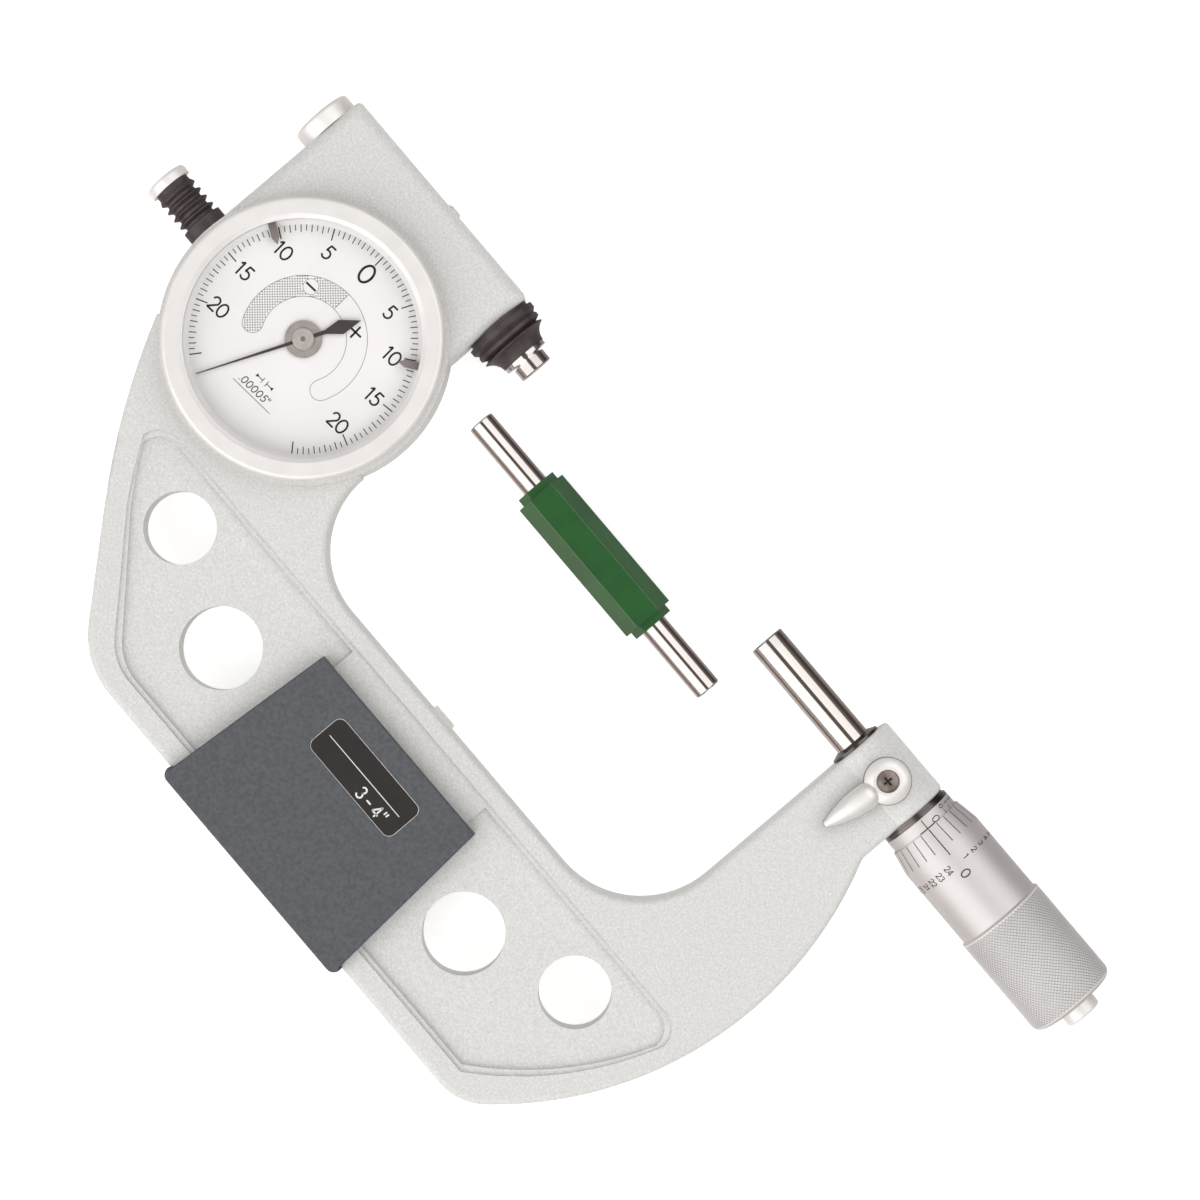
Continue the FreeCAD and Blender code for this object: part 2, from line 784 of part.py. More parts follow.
def make_frame():
    """Cast frame: bow with sunk panels and holes, dial housing and spindle lug in one piece."""
    body = new_body("frame")
    pad(body, "bow", -size.rim_half, size.rim_half, [frame_outline()])
    rim = size.rim_half.number
    boss = FreeCAD.Vector(dial_x.number, dial_y.number, 0)

    def is_open_rim(edge):
        if not (level(edge, rim) or level(edge, -rim)):
            return False
        middle = edge.valueAt((edge.FirstParameter + edge.LastParameter) / 2)
        middle.z = 0
        inside_boss = (middle - boss).Length < size.boss_radius.number
        return not inside_boss and middle.y < -0.001

    round_edges(body, "bow_rim", size.rim_round, is_open_rim)
    for side in (1, -1):
        word = "front" if side > 0 else "back"
        low, high = (size.panel_half, size.rim_half) if side > 0 else (-size.rim_half, -size.panel_half)
        pocket(body, f"panel_{word}", low, high, [panel_outline(ORIGIN)])
        low, high = (size.web_half, size.panel_half) if side > 0 else (-size.panel_half, -size.web_half)
        pocket(body, f"web_{word}", low, high, [panel_outline(size.panel_step)])
        pad_right = size.pad_left + size.pad_width
        strip = rectangle(size.pad_left, pad_right, frame_foot + size.panel_bottom_rise,
                          throat_floor - size.panel_top_drop)
        pad(body, f"seat_{word}", low, high, [strip])
    holes = [
        (-size.hole_left_back, -size.hole_left_drop, size.hole_small_radius),
        (size.hole_second_x, -size.hole_second_drop, size.hole_large_radius),
        (size.hole_third_x, -size.hole_second_drop, size.hole_large_radius),
        (size.hole_right_x, -size.hole_left_drop, size.hole_small_radius),
    ]
    pocket(body, "lightening_holes", -size.rim_half, size.rim_half, circles=holes)
    block = rectangle(-size.housing_left, -size.housing_right, dial_y, size.housing_top)
    pad(body, "housing_block", -size.housing_back, size.housing_front, [block])
    top = size.housing_top.number
    left = -size.housing_left.number
    right = -size.housing_right.number
    block_length = right - left

    def is_block_corner(edge):
        box = edge.BoundBox
        upright = box.XLength < 0.001 and box.YLength < 0.001 and abs(box.YMax - top) < 0.001
        return upright and min(abs(box.XMin - left), abs(box.XMin - right)) < 0.001

    def is_block_top(edge):
        box = edge.BoundBox
        return box.YLength < 0.001 and abs(box.YMax - top) < 0.001 and box.XLength > block_length / 2

    round_edges(body, "housing_corners", size.housing_corner, is_block_corner)
    round_edges(body, "housing_shoulders", size.housing_round, is_block_top)
    pad(body, "dial_boss", -size.housing_back, boss_front, circles=[(dial_x, dial_y, size.boss_radius)])
    corner = size.lug_corner
    lug = [
        (lug_left, 0),
        (lug_right, 0),
        (lug_right, size.lug_radius - corner, corner),
        (lug_right - corner, size.lug_radius),
        (lug_left + corner, size.lug_radius, corner),
        (lug_left, size.lug_radius - corner),
    ]
    turned(body, "spindle_lug", lug)
    pad(body, "clamp_boss", 0, size.clamp_boss_height, circles=[(clamp_x, 0, size.clamp_boss_radius)])
    overrun = size.cut_overrun
    bored(body, "sleeve_bore", tube(lug_left - overrun, lug_right + overrun, 0, size.inner_sleeve_radius))
    pocket(body, "clamp_hole", 0, size.clamp_boss_height,
           circles=[(clamp_x, 0, size.clamp_bolt_radius + size.part_gap)])
    bored(body, "anvil_bore",
          tube(-size.housing_left - overrun, overrun - size.housing_right, 0, size.guide_radius))
    dial_centre = (dial_x, dial_y)
    pocket(body, "dial_seat", size.housing_front, boss_front, circles=[(*dial_centre, size.dial_seat_radius)])
    pocket(body, "movement_room", -size.ledge_height, size.housing_front,
           circles=[(*dial_centre, size.movement_radius)])
    cover_floor = size.cover_thickness - size.housing_back
    pocket(body, "ledge_opening", cover_floor, -size.ledge_height,
           circles=[(*dial_centre, size.ledge_radius)])
    pocket(body, "cover_seat", -size.housing_back, cover_floor,
           circles=[(*dial_centre, size.cover_radius)])
    cover_screws = [(dial_x + x, dial_y + y, size.cover_screw_shank) for x, y in cover_screw_places()]
    pocket(body, "cover_screw_holes", cover_floor, -size.ledge_height, circles=cover_screws)
    room = size.slot_room
    slot_left = -size.collar_start - size.slot_room_behind
    slot = rectangle(slot_left, lever_x + room, lever_y - room, -size.driver_seat)
    pocket(body, "lever_slot", -size.driver_half - room, size.driver_half + room, [slot])
    plunger_hole = [(-size.button_drop, 0, size.plunger_radius + size.running_gap)]
    pocket(body, "plunger_hole", -size.housing_left - overrun, dial_x, circles=plunger_hole, role="YZ_Plane")
    plate_screws = [(x, y, size.plate_screw_shank) for x, y in plate_screw_places()]
    pocket(body, "plate_screw_holes", -size.panel_half, size.soft_gap - size.plate_screw_end,
           circles=plate_screws)
    pocket(body, "plug_hole", -size.housing_top, size.plug_floor - size.housing_top,
           circles=[(-size.plug_x, 0, size.plug_stem_radius)], role="XZ_Plane")


def cover_screw_places():
    """Four screws on the cover's circle, from the dial's centre."""
    turn = size.cover_screw_circle * math.cos(math.radians(45))
    return [(turn, turn), (-turn, turn), (-turn, -turn), (turn, -turn)]


def plate_screw_places():
    """Two screws behind the insulating plates, either side of the plates' middle."""
    middle = size.cover_plate_top_left + size.cover_plate_top_width / 2
    height = (frame_foot + throat_floor) / 2 - size.plate_screw_drop
    return [(middle - size.plate_screw_spread, height), (middle + size.plate_screw_spread, height)]


def make_insulating_plate(label, side):
    """Trapezoid cover plate over the middle of the bow; side is 1 in front and -1 behind."""
    body = new_body(label)

    def span(low, high):
        return (as_size(low), as_size(high)) if side > 0 else (-as_size(high), -as_size(low))

    left = size.cover_plate_top_left
    right = left + size.cover_plate_top_width
    top = throat_floor - size.cover_plate_top_drop
    corner = size.cover_plate_corner
    flare = size.cover_plate_flare
    slab = [(left - flare, frame_foot), (right + flare, frame_foot), (right, top), (left, top)]
    pad(body, "slab", *span(size.web_half, size.cover_plate_half), [slab])
    ear = flare + size.cover_plate_ear
    foot = frame_foot - size.cover_plate_lip
    lip = [
        (left - ear + corner, foot),
        (right + ear - corner, foot, corner),
        (right + ear, foot + corner),
        (right + ear, frame_foot),
        (left - ear, frame_foot),
        (left - ear, foot + corner, corner),
    ]
    pad(body, "lip", *span(0, size.cover_plate_half), [lip])
    seat = rectangle(size.pad_left, size.pad_left + size.pad_width, frame_foot, top + size.cut_overrun)
    pocket(body, "seat_relief", *span(size.web_half, size.panel_half), [seat])
    rim_edge = frame_foot + size.panel_bottom_rise
    wide_left = left - ear - size.cut_overrun
    wide_right = right + ear + size.cut_overrun
    step = rectangle(wide_left, wide_right, frame_foot, rim_edge + size.panel_step)
    pocket(body, "step_relief", *span(size.web_half, size.panel_half), [step])
    rim = rectangle(wide_left, wide_right, frame_foot, rim_edge)
    pocket(body, "rim_relief", *span(size.panel_half, size.rim_half), [rim])
    face = side * size.cover_plate_half.number
    round_edges(body, "face_round", size.cover_plate_round, lambda edge: level(edge, face))
    return body


def make_front_plate():
    """Front insulating plate, with a shallow recess for the label."""
    body = make_insulating_plate("insulating_plate_front", 1)
    pocket(body, "label_recess", label_floor, size.cover_plate_half, [label_outline()])


def make_back_plate():
    """Back insulating plate, with two sunk screw holes."""
    body = make_insulating_plate("insulating_plate_back", -1)
    heads = [(x, y, size.plate_screw_radius) for x, y in plate_screw_places()]
    shanks = [(x, y, size.plate_screw_shank) for x, y in plate_screw_places()]
    pocket(body, "screw_heads", -size.cover_plate_half, plate_screw_seat, circles=heads)
    pocket(body, "screw_holes", plate_screw_seat, -size.web_half, circles=shanks)


def label_outline():
    """Round-cornered outline of the label on the front insulating plate."""
    left = size.cover_plate_top_left + size.label_left
    right = left + size.label_width
    top = throat_floor - size.cover_plate_top_drop - size.label_top
    bottom = top - size.label_height
    corner = size.label_corner
    return [
        (left + corner, bottom),
        (right - corner, bottom, corner),
        (right, bottom + corner),
        (right, top - corner, corner),
        (right - corner, top),
        (left + corner, top, corner),
        (left, top - corner),
        (left, bottom + corner, corner),
    ]


def make_label():
    """Plain plate sunk in the front insulating plate."""
    body = new_body("label_plate")
    pad(body, "plate", label_floor, label_floor + size.label_thickness, [label_outline()])


def make_plate_screws():
    """Two screws that hold the insulating plates, driven from behind."""
    crown = size.screw_sink - size.cover_plate_half
    head = size.plate_screw_radius - size.seat_gap
    shank = size.plate_screw_shank
    profile = [
        (0, crown),
        (head, crown),
        (head, plate_screw_seat),
        (shank, plate_screw_seat),
        (shank, -size.plate_screw_end),
        (0, -size.plate_screw_end),
    ]
    make_screw_group("insulating_plate_screws", profile, plate_screw_places())


def make_throat_stop():
    """Small pad on the floor of the throat, one end bevelled."""
    body = new_body("throat_stop")
    left = size.throat_stop_x
    right = left + size.throat_stop_length
    top = throat_floor + size.throat_stop_height
    bevel = size.throat_stop_bevel
    outline = [
        (left, throat_floor),
        (right, throat_floor),
        (right, top - bevel),
        (right - bevel, top),
        (left, top),
    ]
    pad(body, "pad", -size.throat_stop_half, size.throat_stop_half, [outline])


def make_back_cover():
    """Round cover behind the movement, with four sunk holes for its screws."""
    body = new_body("back_cover", dial_x, dial_y)
    bottom = -size.housing_back
    top = bottom + size.cover_thickness
    seat = bottom + size.cover_head_depth
    pad(body, "disc", bottom, top, circles=[(0, 0, size.cover_radius - size.seat_gap)])
    heads = [(x, y, size.cover_screw_radius) for x, y in cover_screw_places()]
    shanks = [(x, y, size.cover_screw_shank) for x, y in cover_screw_places()]
    pocket(body, "head_sinks", bottom, seat, circles=heads)
    pocket(body, "shank_holes", seat, top, circles=shanks)


def make_cover_screws():
    """Four screws of the back cover."""
    bottom = -size.housing_back
    crown = bottom + size.screw_sink
    seat = bottom + size.cover_head_depth
    head = size.cover_screw_radius - size.seat_gap
    shank = size.cover_screw_shank
    profile = [
        (0, crown),
        (head, crown),
        (head, seat),
        (shank, seat),
        (shank, crown + size.cover_screw_length),
        (0, crown + size.cover_screw_length),
    ]
    places = [(dial_x + x, dial_y + y) for x, y in cover_screw_places()]
    make_screw_group("back_cover_screws", profile, places)


def make_side_plug():
    """Low bevelled plug in the top of the housing, drawn on the plane whose normal is -Y."""
    body = new_body("side_plug", -size.plug_x, size.housing_top)
    crown = size.plug_height.number
    pad(body, "stem", 0, size.plug_depth, circles=[(0, 0, size.plug_stem_radius)], role="XZ_Plane")
    pad(body, "head", -size.plug_height, 0, circles=[(0, 0, size.plug_radius)], role="XZ_Plane")

    def is_crown(edge):
        box = edge.BoundBox
        return abs(box.YMin - crown) < 0.001 and abs(box.YMax - crown) < 0.001

    round_edges(body, "crown", size.plug_bevel, is_crown, "PartDesign::Chamfer")


def make_end_cap():
    """Screwed cap that closes the anvil's bore and holds its spring."""
    body = new_body("anvil_end_cap")
    inner = -size.housing_left
    outer = inner - size.end_cap_length
    corner = size.end_cap_round
    profile = [
        (outer, 0),
        (inner + size.end_cap_plug, 0),
        (inner + size.end_cap_plug, size.guide_radius),
        (inner, size.guide_radius),
        (inner, size.end_cap_radius),
        (outer + corner, size.end_cap_radius, corner),
        (outer, size.end_cap_radius - corner),
    ]
    turned(body, "cap", profile)


def make_front_bush():
    """Front guide of the anvil, with the flange that carries the bellows."""
    body = new_body("anvil_bush_front")
    face = -size.housing_right
    start = face - size.front_bush_length
    flange_end = face + size.bush_flange_length
    profile = [
        (start, guide_bore),
        (flange_end, guide_bore),
        (flange_end, size.bush_flange_radius),
        (face, size.bush_flange_radius),
        (face, size.guide_radius),
        (start, size.guide_radius),
    ]
    turned(body, "bush", profile)


def make_rear_bush():
    """Rear guide of the anvil."""
    body = new_body("anvil_bush_rear")
    end = -size.rear_bush_start
    turned(body, "bush", tube(end - size.rear_bush_length, end, guide_bore, size.guide_radius))


def make_anvil():
    """Anvil rod with its neck, its lifting collar, a spigot for the spring and a flat for the driver."""
    body = new_body("anvil")
    radius = size.rod_radius
    neck = tip_back - size.neck_length
    collar = -size.collar_start
    tail = -size.anvil_length
    spigot_end = tail - size.spigot_length
    spigot = size.anvil_spring_radius - size.spring_wire - size.part_gap
    profile = [
        (spigot_end, 0),
        (tip_back, 0),
        (tip_back, size.neck_radius),
        (neck, size.neck_radius),
        (neck, radius),
        (collar, radius),
        (collar, size.collar_radius),
        (collar - size.collar_length, size.collar_radius),
        (collar - size.collar_length, radius),
        (tail, radius),
        (tail, spigot),
        (spigot_end, spigot),
    ]
    turned(body, "rod", profile)
    flat = rectangle(driver_left - size.seat_gap, driver_right + size.seat_gap,
                     -radius - size.cut_overrun, -size.driver_seat)
    pocket(body, "driver_flat", -radius, radius, [flat])


def make_anvil_tip():
    """Hard tip of the anvil, its face at the origin."""
    body = new_body("anvil_tip")
    bevel = size.tip_bevel
    profile = [
        (tip_back, 0),
        (0, 0),
        (0, size.tip_radius - bevel),
        (-bevel, size.tip_radius),
        (tip_back, size.tip_radius),
    ]
    turned(body, "tip", profile)


def make_clamp_ring():
    """Ring that holds the bellows against the anvil."""
    body = new_body("bellows_clamp_ring")
    end = tip_back - size.neck_length - size.part_gap
    turned(body, "ring", tube(end - size.clamp_ring_length, end, size.rod_radius, size.clamp_ring_radius))


def make_driver():
    """Block on the anvil that the indicator's lever rests against."""
    body = new_body("anvil_driver")
    foot = lever_y - size.lever_arm - size.driver_overrun
    block = rectangle(driver_left, driver_right, foot, -size.driver_seat)
    pad(body, "block", -size.driver_half, size.driver_half, [block])


def make_anvil_bellows():
    """Rubber bellows between the front bush's flange and the clamp ring.

    From the housing: a plain neck, a wide collar, a flat rib, a deep valley, a sharp rib and a
    hollow-sided cone down to the nose.
    """
    body = new_body("anvil_bellows")
    face = -size.housing_right + size.seat_gap
    step = -size.housing_right + size.bush_flange_length + size.part_gap
    flange = size.bush_flange_radius
    bore = size.rod_radius + size.soft_gap
    nose = -size.bellows_nose
    crest = size.bellows_crest
    neck_end = face + size.bellows_neck_length
    collar_end = neck_end + size.bellows_collar_length
    dip = collar_end + size.bellows_collar_slope
    rib = dip + size.bellows_dip_length
    rib_end = rib + size.bellows_rib_length
    valley = rib_end + size.bellows_valley_run
    peak = valley + size.bellows_valley_run
    profile = [
        (face, flange),
        (step, flange),
        (step, flange - size.bellows_wall),
        (nose - size.bellows_bore_length, bore),
        (nose, bore),
        (nose, size.bellows_nose_radius, -size.bellows_cone_radius),
        (peak + crest, size.bellows_crest_radius),
        (peak - crest, size.bellows_crest_radius),
        (valley, size.bellows_valley),
        (rib_end, size.bellows_rib_radius),
        (rib, size.bellows_rib_radius),
        (dip, size.bellows_dip_radius),
        (collar_end, size.bellows_collar_radius),
        (neck_end, size.bellows_collar_radius),
        (neck_end, size.bellows_neck_radius),
        (face, size.bellows_neck_radius),
    ]
    turned(body, "bellows", profile)


def make_spring(label, start, end, radius, turns, height=ORIGIN):
    """Coil spring of square wire about a line along X, between start and end."""
    body = new_body(label, start, height)
    wire = size.spring_wire
    sketch = new_sketch(body, "wire_section", "XY_Plane")
    draw_outline(sketch, rectangle(0, wire, radius - wire / 2, radius + wire / 2))
    feature = body.newObject("PartDesign::AdditiveHelix", "coil")
    feature.Profile = sketch
    feature.ReferenceAxis = (sketch, ["H_Axis"])
    feature.Mode = "height-turns-angle"
    feature.setExpression("Height", (end - start - wire).formula)
    feature.setExpression("Turns", turns.formula)
    doc.recompute()


def make_anvil_spring():
    """Spring between the end cap and the anvil."""
    start = -size.housing_left + size.end_cap_plug + size.seat_gap
    end = -size.anvil_length - size.seat_gap
    make_spring("anvil_spring", start, end, size.anvil_spring_radius, size.anvil_spring_turns)


def make_plunger():
    """Rod of the retracting button, with the collar that stops it at the housing's wall."""
    body = new_body("retract_plunger", None, button_y)
    stop = -size.dial_back - size.movement_radius + size.plunger_stop_gap
    stop_end = stop + size.plunger_stop_length
    radius = size.plunger_radius
    profile = [
        (button_cap_inner, 0),
        (-size.plunger_end, 0),
        (-size.plunger_end, radius),
        (stop_end, radius),
        (stop_end, size.plunger_stop_radius),
        (stop, size.plunger_stop_radius),
        (stop, radius),
        (button_cap_inner, radius),
    ]
    turned(body, "plunger", profile)


def make_button_cap():
    """Round-edged cap that the finger presses."""
    body = new_body("retract_button_cap", None, button_y)
    outer = button_cap_inner - size.button_cap_length
    radius = size.button_cap_radius
    corner = size.button_cap_round
    profile = [
        (outer, 0),
        (button_cap_inner, 0),
        (button_cap_inner, radius),
        (outer + corner, radius, corner),
        (outer, radius - corner),
    ]
    turned(body, "cap", profile)


def make_button_bellows():
    """Rubber sleeve of the button: a plain neck, ribs and a collar on the housing."""
    body = new_body("button_bellows", None, button_y)
    high = size.button_bellows_radius
    low = size.button_bellows_valley
    bore = low - size.button_bellows_wall
    crest = size.button_rib_crest
    flat = size.button_valley_half
    pitch = size.button_rib_pitch
    start = button_cap_inner + size.seat_gap
    end = -size.housing_left - size.seat_gap
    neck_end = button_cap_inner + size.button_neck_length
    outside = [(start, size.button_neck_radius), (neck_end, size.button_neck_radius)]
    for number in range(int(size.button_ribs.number)):
        peak = neck_end + pitch * (number + 0.5)
        valley = peak + pitch / 2
        outside += [(peak - crest, high), (peak + crest, high), (valley - flat, low), (valley + flat, low)]
    collar = end - size.button_collar_length
    outside += [(collar, size.button_collar_radius), (end, size.button_collar_radius)]
    turned(body, "bellows", [(start, bore), (end, bore)] + outside[::-1])


def make_button_spring():
    """Spring round the plunger, between the cap and the housing."""
    start = button_cap_inner + size.seat_gap
    end = -size.housing_left - size.seat_gap
    make_spring("button_spring", start, end, size.button_spring_radius, size.button_spring_turns, button_y)


def make_lifting_lever():
    """Bell crank between the plunger and the anvil's collar."""
    body = new_body("lifting_lever")
    half = size.lift_half
    toe_radius = size.lift_toe_radius
    left = -size.collar_start + size.part_gap
    middle = left + size.lift_arm_width / 2
    right = left + size.lift_arm_width
    tip_y = -size.rod_radius - size.soft_gap
    shoulder = tip_y - size.lift_arm_width / 2
    arm = [
        (left, lift_y),
        (right, lift_y),
        (right, shoulder),
        (middle, tip_y, size.lift_arm_width),
        (left, shoulder),
    ]
    pad(body, "upper_arm", -half, half, [arm])
    pad(body, "hub", -half, half, circles=[(lift_x, lift_y, size.lift_hub_radius)])
    toe_x = -size.plunger_end + size.part_gap + toe_radius
    reach_x = toe_x - lift_x
    reach_y = button_y - lift_y
    reach = (reach_x * reach_x + reach_y * reach_y).root()
    off_x = reach_y / reach * toe_radius
    off_y = reach_x / reach * toe_radius
    shank = [
        (lift_x - off_x, lift_y + off_y),
        (lift_x + off_x, lift_y - off_y),
        (toe_x + off_x, button_y - off_y),
        (toe_x - off_x, button_y + off_y),
    ]
    pad(body, "lower_arm", -half, half, [shank])
    pad(body, "toe", -half, half, circles=[(toe_x, button_y, toe_radius)])
    bore = size.lift_pin_radius + size.running_gap
    pocket(body, "bore", -half, half, circles=[(lift_x, lift_y, bore)])


def make_lifting_pin():
    """Pin of the lifting lever, with the shoulder that carries it."""
    body = new_body("lifting_lever_pin")
    pad(body, "pin", -size.ledge_height, plate_front_top, circles=[(lift_x, lift_y, size.lift_pin_radius)])
    shoulder = size.lift_pin_radius + size.lift_shoulder
    pad(body, "shoulder", plate_rear_top, -size.lift_half - size.part_gap,
        circles=[(lift_x, lift_y, shoulder)])


def around_dial(angle, radius):
    """The place on a circle about the pointer's axis, at an angle in degrees."""
    turn = math.radians(angle)
    return dial_x + radius * math.cos(turn), dial_y + radius * math.sin(turn)


def make_rear_plate():
    """Rear plate of the movement, on the ledge of the housing."""
    body = new_body("movement_plate_rear")
    low = -size.ledge_height
    pivot = size.pivot_radius + size.running_gap
    rim = size.movement_radius - size.plate_rim_gap
    pad(body, "plate", low, plate_rear_top, circles=[(dial_x, dial_y, rim)])
    pocket(body, "holes", low, plate_rear_top, circles=[
        (lever_x, lever_y, pivot),
        (gear_x, gear_y, pivot),
        (dial_x, dial_y, pivot),
        (lift_x, lift_y, size.lift_pin_radius),
    ])


def make_front_movement_plate():
    """Front plate of the movement, with windows and the stud that holds the hairspring's end."""
    body = new_body("movement_plate_front")
    low = size.front_plate_height
    pivot = size.pivot_radius + size.running_gap
    arbor = size.arbor_radius + size.running_gap
    pad(body, "plate", low, plate_front_top, circles=[(dial_x, dial_y, size.front_plate_radius)])
    holes = [
        (lever_x, lever_y, pivot),
        (gear_x, gear_y, pivot),
        (dial_x, dial_y, arbor),
        (lift_x, lift_y, size.lift_pin_radius),
    ]
    holes += [(*around_dial(angle, size.pillar_circle), size.pillar_screw_radius) for angle in PILLAR_ANGLES]
    windows = [(*around_dial(angle, size.window_circle), size.window_radius) for angle in WINDOW_ANGLES]
    pocket(body, "holes", low, plate_front_top, circles=holes)
    pocket(body, "windows", low, plate_front_top, circles=windows)
    stud_x = dial_x - size.hairspring_inner - size.hairspring_step * size.hairspring_half_turns / 2
    half = size.hairspring_stud / 2
    stud = rectangle(stud_x - half, stud_x + half, dial_y - size.hairspring_stud, dial_y - size.seat_gap)
    pad(body, "hairspring_stud", size.hairspring_height, low, [stud])


def make_pillars():
    """Pillars between the movement's plates, bored at the front for their screws."""
    bottom = plate_rear_top.number
    top = size.front_plate_height.number
    depth = size.pillar_screw_length.number
    post = rod(size.pillar_radius.number, bottom, top)
    hole = rod(size.pillar_screw_radius.number, top - depth, top)
    places = [around_dial(angle, size.pillar_circle) for angle in PILLAR_ANGLES]
    placed_copies("movement_pillars", post.cut(hole), places)


def make_movement_screws():
    """Screws of the pillars, on top of the front plate."""
    end = size.front_plate_height - size.pillar_screw_length
    crown = plate_front_top + size.pillar_head_height
    profile = [
        (0, end),
        (size.pillar_screw_radius, end),
        (size.pillar_screw_radius, plate_front_top),
        (size.pillar_screw_head, plate_front_top),
        (size.pillar_screw_head, crown),
        (0, crown),
    ]
    places = [around_dial(angle, size.pillar_circle) for angle in PILLAR_ANGLES]
    make_screw_group("movement_screws", profile, places)


def tooth_flank(pitch_radius, root, tip, half_tooth):
    """Radius and half angle along one involute flank, from the root circle out to the tip circle."""
    pressure = math.radians(size.pressure_angle.number)
    base = pitch_radius * math.cos(pressure)
    steps = int(size.flank_steps.number)
    flank = []
    for step in range(steps + 1):
        radius = root + (tip - root) * step / steps
        slope = math.acos(min(1.0, base / radius))
        turn = (math.tan(pressure) - pressure) - (math.tan(slope) - slope)
        flank.append((radius, half_tooth + turn))
    return flank


def toothed_arc(teeth, root_depth, tip_height, numbers, middle):
    """Points along the numbered teeth of a wheel, tooth 0 at the middle angle."""
    module = size.tooth_module.number
    pitch_radius = module * teeth / 2
    half_tooth = (math.pi * module / 4 - size.tooth_backlash.number) / pitch_radius
    root = pitch_radius - root_depth * module
    flank = tooth_flank(pitch_radius, root, pitch_radius + tip_height * module, half_tooth)
    points = []
    for number in numbers:
        centre = middle + number * 2 * math.pi / teeth
        points += [polar(radius, centre - half) for radius, half in flank]
        points += [polar(radius, centre + half) for radius, half in reversed(flank)]
    return points, root


def polar(radius, angle):
    """The point at a radius and an angle in radians."""
    return FreeCAD.Vector(radius * math.cos(angle), radius * math.sin(angle), 0)


def prism(points, low, high):
    """Straight solid over a closed outline, from low to high."""
    face = Part.Face(Part.makePolygon(points + points[:1]))
    face.translate(FreeCAD.Vector(0, 0, low))
    return face.extrude(FreeCAD.Vector(0, 0, high - low))


def rod(radius, low, high):
    """Straight round rod about Z."""
    return Part.makeCylinder(radius, high - low, FreeCAD.Vector(0, 0, low))


def pinion_solid(layer, gap_direction):
    """Pinion over a sector's layer, with a gap between teeth facing the given direction."""
    teeth = int(size.pinion_teeth.number)
    over = size.pinion_overhang.number
    points, _ = toothed_arc(teeth, size.pinion_root.number, size.pinion_tip.number,
                            range(teeth), gap_direction + math.pi / teeth)
    return prism(points, layer - over, layer + size.sector_thickness.number + over)


def sector_solid(layer, direction, numbers, arm_angle, hub_radius):
    """Toothed sector with its arm and hub, tooth 0 facing the given direction."""
    low = layer
    high = layer + size.sector_thickness.number
    teeth = size.sector_teeth.number
    points, root = toothed_arc(teeth, size.sector_root.number, size.sector_tip.number, numbers, direction)
    begin = direction + (numbers[0] - 0.5) * 2 * math.pi / teeth
    finish = direction + (numbers[-1] + 0.5) * 2 * math.pi / teeth
    inner = root - size.sector_rim.number
    rim = [polar(inner, finish), polar(inner, (begin + finish) / 2), polar(inner, begin)]
    toothed = prism(points + [polar(root, finish)] + rim + [polar(root, begin)], low, high)
    half = size.sector_arm_width.number / 2
    along = polar(1, arm_angle)
    side = polar(half, arm_angle + math.pi / 2)
    end = along * (inner + size.sector_rim.number / 2)
    arm = prism([side, -side, end - side * size.sector_taper.number, end + side * size.sector_taper.number],
                low, high)
    return toothed.fuse([arm, rod(hub_radius.number, low, high)]).removeSplitter()


def arbor_solid():
    """Arbor with a thinner pivot at each end, between the two plates."""
    play = size.end_play.number
    low = plate_rear_top.number
    high = size.front_plate_height.number
    reach = size.pivot_length.number
    pivots = rod(size.pivot_radius.number, low - reach, high + reach)
    return rod(size.arbor_radius.number, low + play, high - play).fuse([pivots])


def sub_part(label, shape, x, y):
    """A node made of one worked-out solid, moved to its arbor."""
    feature = doc.addObject("Part::Feature", label)
    feature.Label = label
    feature.Shape = shape
    feature.Placement = FreeCAD.Placement(FreeCAD.Vector(x.number, y.number, 0), FreeCAD.Rotation())
    SUB_PARTS.append(feature)


def make_lever_sector():
    """Contact lever of the indicator: a finger beside the driver and a short toothed sector."""
    layer = size.lever_layer.number
    side = int(size.lever_teeth_side.number)
    sector = sector_solid(layer, to_gear, range(-side, side + 1), to_gear, size.lever_hub_radius)
    contact = (driver_right + size.part_gap - lever_x).number
    reach = -size.lever_arm.number
    tip = size.finger_tip.number
    width = size.finger_width.number
    finger = [
        FreeCAD.Vector(contact, reach - tip, 0),
        FreeCAD.Vector(contact + width, reach - tip, 0),
        FreeCAD.Vector(width, 0, 0),
        FreeCAD.Vector(0, 0, 0),
        FreeCAD.Vector(contact, reach + tip, 0),
    ]
    arm = prism(finger, layer, layer + size.sector_thickness.number)
    sub_part("lever_sector", sector.fuse([arm, arbor_solid()]).removeSplitter(), lever_x, lever_y)


def make_gear_sector():
    """Second toothed sector, on one arbor with the pinion that the contact lever turns."""
    numbers = range(-int(size.gear_teeth_before.number), int(size.gear_teeth_after.number) + 1)
    arm_angle = to_dial - math.radians(size.gear_arm_turn.number)
    sector = sector_solid(size.sector_layer.number, to_dial, numbers, arm_angle, size.sector_hub_radius)
    pinion = pinion_solid(size.lever_layer.number, to_gear + math.pi)
    sub_part("gear_sector", sector.fuse([pinion, arbor_solid()]).removeSplitter(), gear_x, gear_y)


